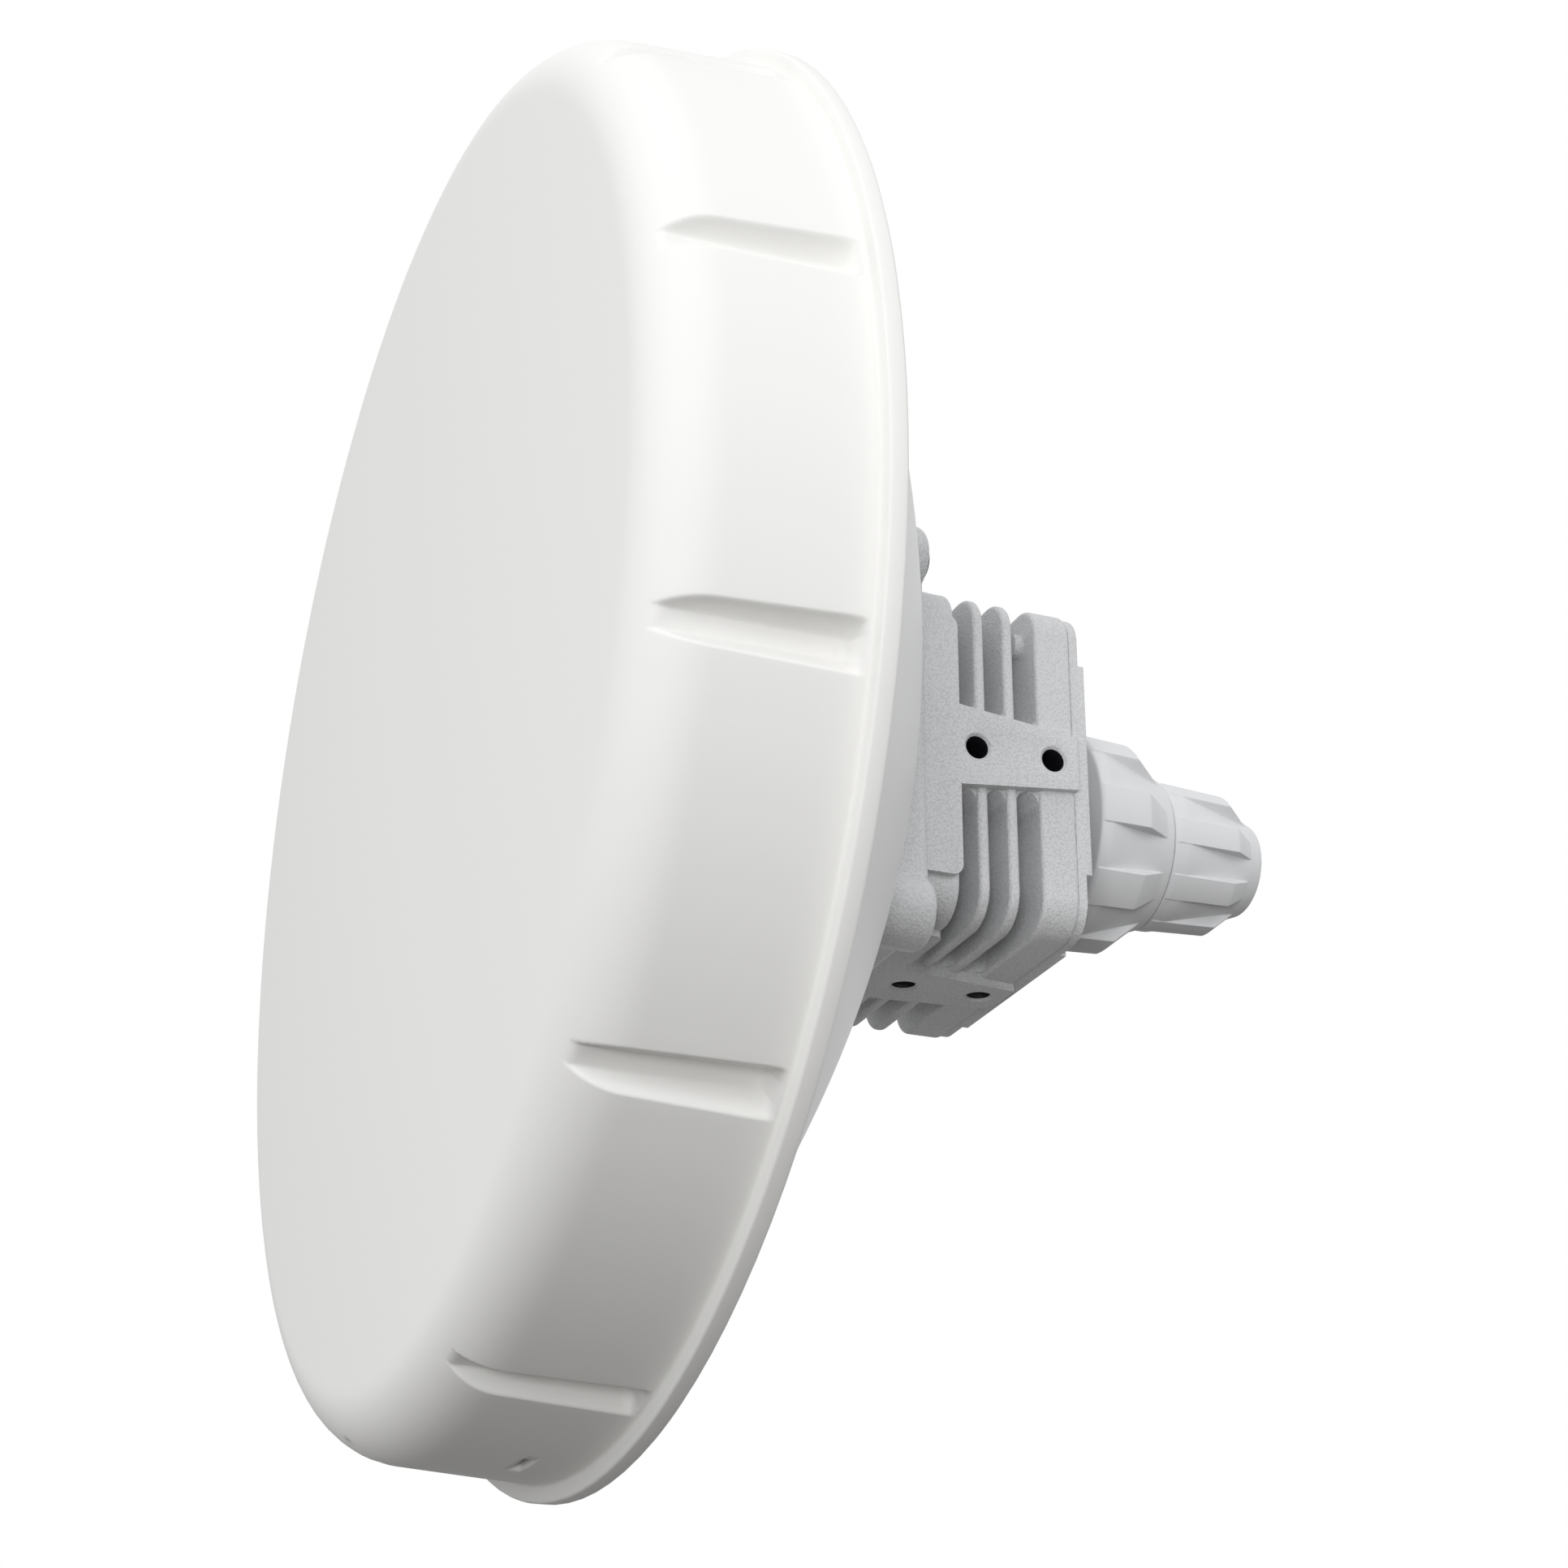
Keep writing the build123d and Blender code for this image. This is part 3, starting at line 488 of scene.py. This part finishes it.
def rounded_path(corners: np.ndarray, radii: np.ndarray, spacing: float) -> np.ndarray:
    """Polyline with its corners rounded by arcs.

    At a corner with turn angle t and radius r the arc starts r*tan(t/2) before the
    corner and ends as far after it; its points are spread evenly over the turn.
    Straight stretches are divided so that no step is longer than the spacing.

    Args:
        corners: (n, 2) corner points, radius then axis position.
        radii: rounding radius at each corner, 0 for a sharp one.
        spacing: longest step in millimetres.

    Returns:
        (m, 2) points along the rounded path.
    """
    pieces = [corners[:1]]
    for before, here, after, radius in zip(corners[:-2], corners[1:-1], corners[2:],
                                           radii[1:-1]):
        into = (here - before) / np.linalg.norm(here - before)
        out = (after - here) / np.linalg.norm(after - here)
        turn = math.acos(float(np.clip(into @ out, -1, 1)))
        if radius <= 0 or turn < 1e-3:
            pieces.append(here[None])
            continue
        reach = radius * math.tan(turn / 2)
        side = math.copysign(1.0, into[0] * out[1] - into[1] * out[0])
        normal = side * np.array([-into[1], into[0]])
        start = here - into * reach
        centre = start + normal * radius
        steps = np.linspace(0, turn, max(4, int(turn * radius / spacing) + 3))[:, None]
        pieces.append(centre - normal * radius * np.cos(steps)
                      + into * radius * np.sin(steps))
    pieces.append(corners[-1:])
    path = np.concatenate(pieces)
    gaps = np.linalg.norm(np.diff(path, axis=0), axis=1)
    along = np.concatenate([[0.0], np.cumsum(gaps)])
    keep = np.concatenate([[True], gaps > 1e-6])
    path, along = path[keep], along[keep]
    counts = np.maximum(1, np.ceil(np.diff(along) / spacing).astype(int))
    stops = np.concatenate([np.linspace(a, b, n, endpoint=False)
                            for a, b, n in zip(along[:-1], along[1:], counts)]
                           + [along[-1:]])
    return np.stack([np.interp(stops, along, path[:, k]) for k in (0, 1)], axis=1)


def smooth_step(value: np.ndarray) -> np.ndarray:
    """Ease from 0 to 1: 3t squared minus 2t cubed, with t held between 0 and 1."""
    held = np.clip(value, 0, 1)
    return held * held * (3 - 2 * held)


def soft_min(first: np.ndarray, second: np.ndarray, blend: float) -> np.ndarray:
    """Smooth smaller-of-two: the minimum, less a rounding that dies out over blend."""
    gap = np.abs(first - second)
    return np.minimum(first, second) - blend * np.log1p(np.exp(-gap / blend))


def turned_mesh(name: str, radius: np.ndarray, axial: np.ndarray, angles: np.ndarray,
                closed: bool = True) -> bpy.types.Object:
    """Surface swept round the Y axis.

    Point (i, j) is (radius[i, j] * sin angle[j], axial[i, j], radius[i, j] * cos
    angle[j]). The angle direction always closes; with closed set, the last profile row
    joins the first, and otherwise rows at radius 0 become poles.

    Args:
        name: object name.
        radius: (m, n) distances from the axis in millimetres.
        axial: (m, n) positions along the axis in millimetres.
        angles: (n,) angles from +Z towards +X in radians.
        closed: whether the profile is a loop.

    Returns:
        The new object, linked to the scene.
    """
    rows, columns = radius.shape
    points = np.stack([radius * np.sin(angles), axial, radius * np.cos(angles)], axis=-1)
    last = rows if closed else rows - 1
    i, j = np.meshgrid(np.arange(last), np.arange(columns), indexing="ij")
    after_i, after_j = (i + 1) % rows, (j + 1) % columns
    quads = np.stack([i * columns + j, after_i * columns + j,
                      after_i * columns + after_j, i * columns + after_j], axis=-1)
    mesh = bpy.data.meshes.new(name)
    mesh.from_pydata((points.reshape(-1, 3) * MM).tolist(), [],
                     quads.reshape(-1, 4).tolist())
    tidy_mesh(mesh)
    mesh.shade_smooth()
    piece = bpy.data.objects.new(name, mesh)
    bpy.context.scene.collection.objects.link(piece)
    return piece


def tidy_mesh(mesh: bpy.types.Mesh, merge: float = 1e-6) -> None:
    """Merge doubled points and turn the faces outwards.

    Args:
        mesh: the mesh to clean.
        merge: distance in metres under which points are one.
    """
    work = bmesh.new()
    work.from_mesh(mesh)
    bmesh.ops.remove_doubles(work, verts=work.verts, dist=merge)
    bmesh.ops.dissolve_degenerate(work, edges=work.edges, dist=merge / 10)
    bmesh.ops.recalc_face_normals(work, faces=work.faces)
    work.to_mesh(mesh)
    work.free()


def cut_out(piece: bpy.types.Object, cutter: bpy.types.Object) -> None:
    """Take the cutter's volume out of a piece, then remove the cutter.

    Args:
        piece: the object that is cut.
        cutter: the object whose volume is taken away.
    """
    step = piece.modifiers.new("cut", "BOOLEAN")
    step.operation = "DIFFERENCE"
    step.solver = "EXACT"
    step.object = cutter
    bpy.context.view_layer.update()
    graph = bpy.context.evaluated_depsgraph_get()
    result = bpy.data.meshes.new_from_object(piece.evaluated_get(graph))
    piece.modifiers.clear()
    old = piece.data
    piece.data = result
    result.name = old.name + "_cut"
    bpy.data.meshes.remove(old)
    bpy.data.objects.remove(cutter)


def even_angles(count: int) -> np.ndarray:
    """Angles spread evenly round a full turn."""
    return np.linspace(0, math.tau, count, endpoint=False)


# ---- sub-assemblies --------------------------------------------------------------

@dataclass
class Radome:
    """The plastic cover over the dish."""

    rim_radius: float = 125.0
    rim_back: float = -61.6
    rim_thickness: float = 3.0
    wall_rear: float = 122.1
    wall_front: float = 120.2
    front_edge: float = -97.5
    rise: float = 3.5
    shell: float = 2.2
    seat_radius: float = 123.0
    seat_depth: float = 1.5
    groove_count: int = 12
    first_groove: float = 15.0
    groove_floor: float = 117.4
    groove_half: float = 4.0
    floor_half: float = 1.7
    groove_end: float = -65.7
    end_run: float = 0.7
    groove_span: float = 2.7
    face_stations: int = 29
    face_round: float = 11.5
    inner_round: float = 9.3
    blend: float = 0.14
    slot: tuple[float, float, float] = (8.0, 2.0, -74.1)

    def angles(self) -> np.ndarray:
        """Angles that are close together across each groove and wider between them."""
        pitch = 360.0 / self.groove_count
        near = np.linspace(-self.groove_span, self.groove_span, 43)
        far = np.linspace(self.groove_span, pitch - self.groove_span, 9)[1:-1]
        one = np.concatenate([near, far])
        starts = self.first_groove + pitch * np.arange(self.groove_count)
        return np.radians((starts[:, None] + one[None]).ravel())

    def grooved(self, radius: np.ndarray, axial: np.ndarray, angles: np.ndarray,
                inset: float) -> np.ndarray:
        """Press the grooves into a profile.

        The trough has a flat floor, straight flanks that lean outward and a steep end
        wall at the rim. The surface is the smooth smaller of the plain profile and the
        trough.

        Args:
            radius: (m,) plain profile radii.
            axial: (m,) axis positions.
            angles: (n,) angles in radians.
            inset: wall thickness to go below the outer surface, 0 for the outside.

        Returns:
            (m, n) radii.
        """
        pitch = math.tau / self.groove_count
        offset = np.mod(angles - math.radians(self.first_groove) + pitch / 2, pitch) - pitch / 2
        across = np.abs(offset) * self.wall_front
        depth = self.wall_rear - self.groove_floor
        end = np.maximum(0, axial - (self.groove_end + inset - self.end_run)) / self.end_run
        flank = (np.maximum(0, across - self.floor_half - inset)
                 / (self.groove_half - self.floor_half))
        trough = self.groove_floor - inset + depth * (flank[None] + end[:, None])
        return soft_min(radius[:, None], trough, self.blend)

    def profile(self) -> tuple[np.ndarray, np.ndarray]:
        """Outer and inner halves of the wall's section.

        The domed face is sampled up to where its edge rounding begins, and the wall has
        a point at each end of the grooves' end wall.

        Returns:
            The outer half, from the middle of the face to the seat, and the inner half,
            back to the middle.
        """
        corner = self.face_stations
        sweep = np.append(np.linspace(0, 0.88, corner), 1.0)
        outer_face = np.stack([self.wall_front * sweep,
                               self.front_edge - self.rise * (1 - sweep ** 2)], axis=1)
        rim_front = self.rim_back - self.rim_thickness
        ends = np.array([self.groove_end - self.end_run, self.groove_end])
        end_radii = np.interp(ends, [self.front_edge, rim_front],
                              [self.wall_front, self.wall_rear])
        outer = np.concatenate([outer_face, np.stack([end_radii, ends], axis=1), [
            [self.wall_rear, rim_front], [self.rim_radius, rim_front],
            [self.rim_radius, self.rim_back], [self.seat_radius, self.rim_back],
            [self.seat_radius, self.rim_back - self.seat_depth]]])
        outer_round = np.zeros(len(outer))
        outer_round[corner:corner + 8] = (self.face_round, 0, 0, 0.6, 0.5, 0.5, 0.25, 0)
        inner_edge = self.wall_front - self.shell
        inner_face = np.stack([inner_edge * sweep,
                               self.front_edge + self.shell - self.rise * (1 - sweep ** 2)],
                              axis=1)
        inner = np.concatenate([inner_face, [
            [self.wall_rear - self.shell, self.rim_back - self.seat_depth]]])
        inner_round = np.zeros(len(inner))
        inner_round[corner] = self.inner_round
        return (rounded_path(outer[:-1], outer_round, 1.3),
                rounded_path(inner, inner_round, 3.0)[::-1])

    def build(self) -> bpy.types.Object:
        """Make the radome in place of its CAD solid.

        Returns:
            The finished piece.
        """
        outer, inner = self.profile()
        angles = self.angles()
        corner = np.array([[self.seat_radius, self.rim_back - self.seat_depth]])
        radius = np.concatenate([
            self.grooved(outer[:, 0], outer[:, 1], angles, 0.0),
            np.repeat(corner[:, :1], len(angles), axis=1),
            self.grooved(inner[:, 0], inner[:, 1], angles, self.shell)])
        radius = np.maximum(radius, 0)
        axial = np.concatenate([outer[:, 1], corner[:, 1], inner[:, 1]])
        piece = turned_mesh("radome_cover", radius,
                            np.repeat(axial[:, None], len(angles), axis=1), angles,
                            closed=False)
        cutter = slot_cutter(self.slot, -self.wall_rear)
        cut_out(piece, cutter)
        piece.data.shade_smooth()
        RADOME_PLASTIC.dress(piece)
        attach(piece, "bridge")
        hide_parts("radome")
        return piece


def slot_cutter(slot: tuple[float, float, float], height: float) -> bpy.types.Object:
    """Upright bar with round ends, used to cut the drain slot.

    Its section is a line of half the length less the half width, with a half circle at
    each end.

    Args:
        slot: width along X, width along Y and the Y position of its middle.
        height: Z position of its middle.

    Returns:
        The cutter object.
    """
    wide, thin, middle = slot
    count, reach = 32, 6.0
    turn = even_angles(count)
    x = np.cos(turn) * thin / 2 + np.sign(np.cos(turn)) * (wide - thin) / 2
    y = middle + np.sin(turn) * thin / 2
    low = np.stack([x, y, np.full_like(x, height - reach)], axis=1)
    high = np.stack([x, y, np.full_like(x, height + reach)], axis=1)
    index = np.arange(count)
    after = (index + 1) % count
    sides = np.stack([index, after, after + count, index + count], axis=1).tolist()
    mesh = bpy.data.meshes.new("slot_cutter")
    mesh.from_pydata((np.concatenate([low, high]) * MM).tolist(), [],
                     sides + [index[::-1].tolist(), (index + count).tolist()])
    cutter = bpy.data.objects.new("slot_cutter", mesh)
    bpy.context.scene.collection.objects.link(cutter)
    return cutter


@dataclass
class Dish:
    """The spun reflector."""

    apex: float = -18.7
    form: float = 306.0
    sheet: float = 1.8
    seat_radius: float = 54.0
    seat: float = -28.2
    hole: float = 12.0
    rim_radius: float = 122.7
    rim_back: float = -61.6
    rim_sheet: float = 1.5
    rim_bend: float = 2.5
    rim_edge: float = 0.5
    stations: int = 26
    columns: int = 256
    step: float = 3.0

    def build(self) -> bpy.types.Object:
        """Spin the dish: the back is the parabola y = apex - r*r/form, sheet thick.

        Returns:
            The finished piece.
        """
        join = math.sqrt(self.form * (self.apex - self.rim_back))
        front = self.rim_back - self.rim_sheet
        join_front = math.sqrt(self.form * (self.apex - self.sheet - front))
        sweep = np.linspace(0, 1, self.stations)
        out = self.seat_radius + (join - self.seat_radius) * sweep
        back = join_front + (self.seat_radius - join_front) * sweep
        corners = np.concatenate([
            [[self.hole, self.seat - self.sheet], [self.hole, self.seat]],
            np.stack([out, self.apex - out ** 2 / self.form], axis=1),
            [[self.rim_radius, self.rim_back], [self.rim_radius, front]],
            np.stack([back, self.apex - self.sheet - back ** 2 / self.form], axis=1),
            [[self.seat_radius, self.seat - self.sheet],
             [self.hole, self.seat - self.sheet]]])
        radii = np.zeros(len(corners))
        rim_root = 1 + self.stations
        radii[rim_root] = self.rim_bend
        radii[rim_root + 1:rim_root + 3] = self.rim_edge
        path = rounded_path(corners, radii, self.step)[:-1]
        angles = even_angles(self.columns)
        piece = turned_mesh("spun_dish", np.repeat(path[:, :1], self.columns, axis=1),
                            np.repeat(path[:, 1:], self.columns, axis=1), angles)
        DISH_PAINT.dress(piece)
        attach(piece, "bridge")
        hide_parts("reflector")
        return piece


@dataclass
class Castings:
    """The finned housing and its rear cover, with softened edges."""

    bevel: float = 0.35
    pad_half: float = 32.6
    hole_offset: float = 7.25
    hole_radius: float = 2.1
    hole_slack: float = 0.06
    chamfer: float = 0.45
    core: float = 20.0
    sharp: float = 32.0
    nodes: dict[str, str] = field(default_factory=lambda: {
        "housing": "finned_casting", "rear_cover": "rear_casting"})

    def build(self) -> list[bpy.types.Object]:
        """Copy each casting's solid, merge it, soften its edges and coat it.

        Returns:
            The finished pieces.
        """
        made = []
        for node, name in self.nodes.items():
            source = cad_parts[node]
            mesh = source.data.copy()
            mesh.name = name
            self.join_faces(mesh)
            self.shade_bores(mesh)
            piece = bpy.data.objects.new(name, mesh)
            bpy.context.scene.collection.objects.link(piece)
            edge = piece.modifiers.new("soft_edges", "BEVEL")
            edge.width = self.bevel * MM
            edge.segments = 2
            edge.limit_method = "ANGLE"
            edge.angle_limit = math.radians(self.sharp)
            edge.harden_normals = True
            mesh.shade_smooth()
            POWDER_COAT_WITH_BORE_SHADE.dress(piece)
            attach(piece, "bridge")
            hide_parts(node)
            made.append(piece)
        return made

    def join_faces(self, mesh: bpy.types.Mesh) -> None:
        """Merge loose triangles, and join the ones that lie in one plane.

        Args:
            mesh: the casting's mesh.
        """
        work = bmesh.new()
        work.from_mesh(mesh)
        bmesh.ops.remove_doubles(work, verts=work.verts, dist=2e-6)
        bmesh.ops.dissolve_limit(work, angle_limit=math.radians(0.4), verts=work.verts,
                                 edges=work.edges)
        work.to_mesh(mesh)
        work.free()

    def shade_bores(self, mesh: bpy.types.Mesh) -> None:
        """Mark the faces inside the tapped pad holes.

        A face is inside when its middle is nearer than the hole's radius to a line
        through the hole, lies below the mouth's chamfer and is outside the core. The marked
        faces are painted near black as shade inside the holes.

        Args:
            mesh: the casting's mesh, which gets the mark as a face attribute.
        """
        count = len(mesh.polygons)
        middle = np.empty(count * 3)
        mesh.polygons.foreach_get("center", middle)
        x, y, z = middle.reshape(-1, 3).T / MM
        off = np.abs(y) - self.hole_offset
        limit = self.hole_radius + self.hole_slack
        mouth = self.pad_half - self.chamfer
        far_x, far_z = np.abs(x), np.abs(z)
        along_x = (np.hypot(off, z) < limit) & (far_x < mouth) & (far_x > self.core)
        along_z = (np.hypot(off, x) < limit) & (far_z < mouth) & (far_z > self.core)
        inside = along_x | along_z
        shade = mesh.attributes.new("bore_shade", "FLOAT", "FACE")
        shade.data.foreach_set("value", inside.astype(np.float32))


@dataclass
class GripNut:
    """A gland nut: a tapering body with wedge ribs of even height round it."""

    name: str
    node: str
    body: str
    outer: list[tuple[float, float, float]]
    inner: list[tuple[float, float]]
    top: list[tuple[float, float]]
    rib_count: int = 8
    half_angle: float = 10.5
    edge: float = 0.5
    root: float = 3.0

    def angles(self) -> np.ndarray:
        """Angles that crowd at the ribs' flanks."""
        half, edge = self.half_angle, self.edge
        one = np.concatenate([
            np.linspace(-half - 1.5 * edge, -half + 1.5 * edge, 9),
            np.linspace(-half + 1.5 * edge, half - 1.5 * edge, 8)[1:-1],
            np.linspace(half - 1.5 * edge, half + 1.5 * edge, 9),
            np.linspace(half + 1.5 * edge, 360 / self.rib_count - half - 1.5 * edge,
                        8)[1:-1]])
        starts = 360 / self.rib_count * np.arange(self.rib_count)
        return np.radians((starts[:, None] + one[None]).ravel())

    def build(self) -> bpy.types.Object:
        """Turn the nut and raise its ribs.

        Each rib stands up to the top line, which is level and then slants down to the
        body. Across the rib the rise is eased from 0 to 1 over its flanks.

        Returns:
            The finished piece.
        """
        corners = np.array([(r, y) for r, y, _ in self.outer])
        radii = np.array([rounding for _, _, rounding in self.outer])
        outer = rounded_path(corners, radii, 0.45)
        inner = rounded_path(np.array(self.inner), np.zeros(len(self.inner)), 3.0)
        angles = self.angles()
        pitch = math.tau / self.rib_count
        offset = np.abs(np.mod(angles + pitch / 2, pitch) - pitch / 2)
        rise = 1 - smooth_step((np.degrees(offset) - self.half_angle + self.edge)
                               / (2 * self.edge))
        line = np.array(self.top)
        top = np.interp(outer[:, 1], line[:, 0], line[:, 1], left=0, right=0)
        top = np.where(outer[:, 1] > corners[0, 1] + 1e-3, top, 0)
        on_body = outer[:, 0] > line[:, 1].min() - self.root
        lift = np.maximum(0, top - outer[:, 0]) * on_body
        outside = outer[:, :1] + lift[:, None] * rise[None]
        radius = np.concatenate([outside,
                                 np.repeat(inner[1:-1, :1], len(angles), axis=1)])
        axial = np.concatenate([outer[:, 1], inner[1:-1, 1]])
        piece = turned_mesh(self.name, radius,
                            np.repeat(axial[:, None], len(angles), axis=1), angles)
        GLAND_PLASTIC.dress(piece)
        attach(piece, self.body)
        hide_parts(self.node)
        return piece


@dataclass
class Gland:
    """Both nuts of the cable gland."""

    def build(self) -> list[bpy.types.Object]:
        """Make the lock nut and the cap nut.

        Returns:
            The finished pieces.
        """
        lock = GripNut(
            "gland_lock_nut", "lock_nut", "lock_nut",
            outer=[(14.65, 23.2, 0), (20.0, 23.2, 0.5), (20.0, 25.5, 4.0), (14.3, 41.0, 0.35),
                   (9.6, 41.0, 0)],
            inner=[(9.6, 41.0), (9.6, 36.25), (14.65, 36.25), (14.65, 23.2)],
            top=[(23.2, 19.6), (23.8, 20.3), (33.2, 19.8), (39.4, 14.7)])
        cap = GripNut(
            "gland_cap_nut", "cap_nut", "cap_nut",
            outer=[(9.35, 41.35, 0), (13.9, 41.35, 0.3), (13.9, 44.4, 4.0), (9.75, 59.4, 2.4),
                   (8.5, 62.6, 1.3), (6.8, 62.6, 0.3), (6.8, 61.6, 0)],
            inner=[(6.8, 61.6), (6.8, 59.45), (7.6, 59.45), (9.35, 58.0), (9.35, 41.35)],
            top=[(41.35, 13.4), (42.0, 14.1), (54.95, 13.4), (59.35, 9.8)])
        return [lock.build(), cap.build()]


@dataclass
class Dressing:
    """Finishes for the CAD pieces whose shape is already right."""

    finishes: dict[str, Finish] = field(default_factory=lambda: {
        "feed_tube": TURNED_ALUMINIUM, "dielectric_cone": CONE_PLASTIC,
        "sub_reflector": TURNED_ALUMINIUM, "front_gasket": SEAL_RUBBER,
        "housing_screws": DARK_STEEL_PAINTED_SHADE, "housing_nuts": PLAIN_STEEL,
        "radio_board": SOLDER_MASK, "radio_shield": TINNED_SHEET,
        "radio_chip": CHIP_MOULD, "radio_pad": HEAT_PAD, "radio_screws": PLAIN_STEEL,
        "flex_cable": AMBER_FILM, "main_board": SOLDER_MASK, "cpu_chip": CHIP_MOULD,
        "cpu_pad": HEAT_PAD, "board_screws": PLAIN_STEEL, "ethernet_jack": SOCKET_BLACK,
        "jack_contacts": CONTACT_GOLD, "status_leds": LED_LENS,
        "reset_switch": CHIP_MOULD, "reset_button": IVORY_PLUNGER,
        "rear_gasket": SEAL_RUBBER, "cover_screws": DARK_STEEL_PAINTED_SHADE,
        "collar_seal": SEAL_RUBBER, "gland_sleeve": GLAND_PLASTIC,
        "cable_seal": SEAL_RUBBER, "clamp_ring": GLAND_PLASTIC})

    def build(self) -> None:
        """Give each CAD piece its finish."""
        for node, finish in self.finishes.items():
            finish.dress(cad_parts[node])


@dataclass
class Studio:
    """Floor, soft light and the camera."""

    eye: tuple[float, float, float] = (459.63, -215.93, -219.18)
    target: tuple[float, float, float] = (0.0, -29.957, 2.628)
    lens: float = 70.0
    floor_z: float = -700.0
    floor_half: float = 4000.0

    def build(self) -> None:
        """Set up the whole studio."""
        self.floor()
        self.sky()
        self.lamp("key_light", (700, -1600, 400), 900, 6.6)
        self.lamp("side_light", (1500, 300, 500), 700, 3.4)
        self.lamp("low_light", (1450, -850, -350), 450, 8.2)
        self.camera()
        bpy.context.scene.view_settings.view_transform = "Standard"

    def floor(self) -> None:
        """Lay a wide pale floor with a faint, slow change of tone."""
        side = self.floor_half * MM
        corners = [(-side, -side), (side, -side), (side, side), (-side, side)]
        mesh = bpy.data.meshes.new("studio_floor")
        mesh.from_pydata([(x, y, self.floor_z * MM) for x, y in corners], [], [(0, 1, 2, 3)])
        floor = bpy.data.objects.new("studio_floor", mesh)
        bpy.context.scene.collection.objects.link(floor)
        finish = Finish("floor_card", (0.82, 0.82, 0.82), (0.80, 0.80, 0.80), 0.7,
                        grain=3.0, relief=0.01, drift=900)
        finish.dress(floor)
        floor.visible_diffuse = False

    def sky(self) -> None:
        """Light from all round: bright above, dim below, white where it is seen."""
        world = bpy.data.worlds.new("studio")
        bpy.context.scene.world = world
        world.use_nodes = True
        world.node_tree.nodes.clear()
        tree = Tree(world.node_tree)
        place = tree.add("ShaderNodeTexCoord")
        parts = tree.add("ShaderNodeSeparateXYZ")
        tree.feed(parts.inputs[0], place.outputs["Generated"])
        level = tree.ramp(parts.outputs["Z"], -0.55, 0.35)
        colour = tree.blend(level, (0.125, 0.121, 0.114), (0.99, 0.995, 1.0))
        light = tree.add("ShaderNodeBackground")
        tree.feed(light.inputs[0], colour)
        light.inputs[1].default_value = 0.86
        seen = tree.add("ShaderNodeBackground")
        seen.inputs[0].default_value = (1, 1, 1, 1)
        seen.inputs[1].default_value = 1.0
        path = tree.add("ShaderNodeLightPath")
        mix = tree.add("ShaderNodeMixShader")
        tree.feed(mix.inputs[0], path.outputs["Is Camera Ray"])
        tree.feed(mix.inputs[1], light.outputs[0])
        tree.feed(mix.inputs[2], seen.outputs[0])
        sheet = tree.add("ShaderNodeOutputWorld")
        tree.feed(sheet.inputs["Surface"], mix.outputs[0])

    def lamp(self, name: str, spot: tuple[float, float, float], size: float,
             power: float) -> None:
        """Hang a square soft light that faces the object.

        Args:
            name: object name.
            spot: position in millimetres.
            size: side of the light in millimetres.
            power: watts.
        """
        data = bpy.data.lights.new(name, "AREA")
        data.shape = "SQUARE"
        data.size = size * MM
        data.energy = power
        lamp = bpy.data.objects.new(name, data)
        bpy.context.scene.collection.objects.link(lamp)
        aim(lamp, spot, (0, -30, 0))

    def camera(self) -> None:
        """Place the camera, level and without shift."""
        data = bpy.data.cameras.new("camera")
        data.lens = self.lens
        data.sensor_width = 36.0
        data.clip_start = 0.01
        camera = bpy.data.objects.new("camera", data)
        bpy.context.scene.collection.objects.link(camera)
        aim(camera, self.eye, self.target)
        bpy.context.scene.camera = camera


def aim(thing: bpy.types.Object, spot: tuple[float, float, float],
        target: tuple[float, float, float]) -> None:
    """Place a light or camera and point its -Z at a target, +Y up.

    Args:
        thing: the object to place.
        spot: its position in millimetres.
        target: the point it looks at in millimetres.
    """
    here, there = Vector(spot) * MM, Vector(target) * MM
    thing.location = here
    thing.rotation_euler = (there - here).to_track_quat("-Z", "Y").to_euler()


def main() -> None:
    """Build every sub-assembly in order and report it."""
    logging.basicConfig(level=logging.INFO, format="%(name)s: %(message)s")
    made = [Radome().build(), Dish().build(), *Castings().build(), *Gland().build()]
    dressing = Dressing()
    dressing.build()
    Studio().build()
    for piece in made:
        LOG.info("%s: %d faces", piece.name, len(piece.data.polygons))
    for node in dressing.finishes:
        LOG.info("%s: dressed", node)


if __name__ == "__main__":
    main()
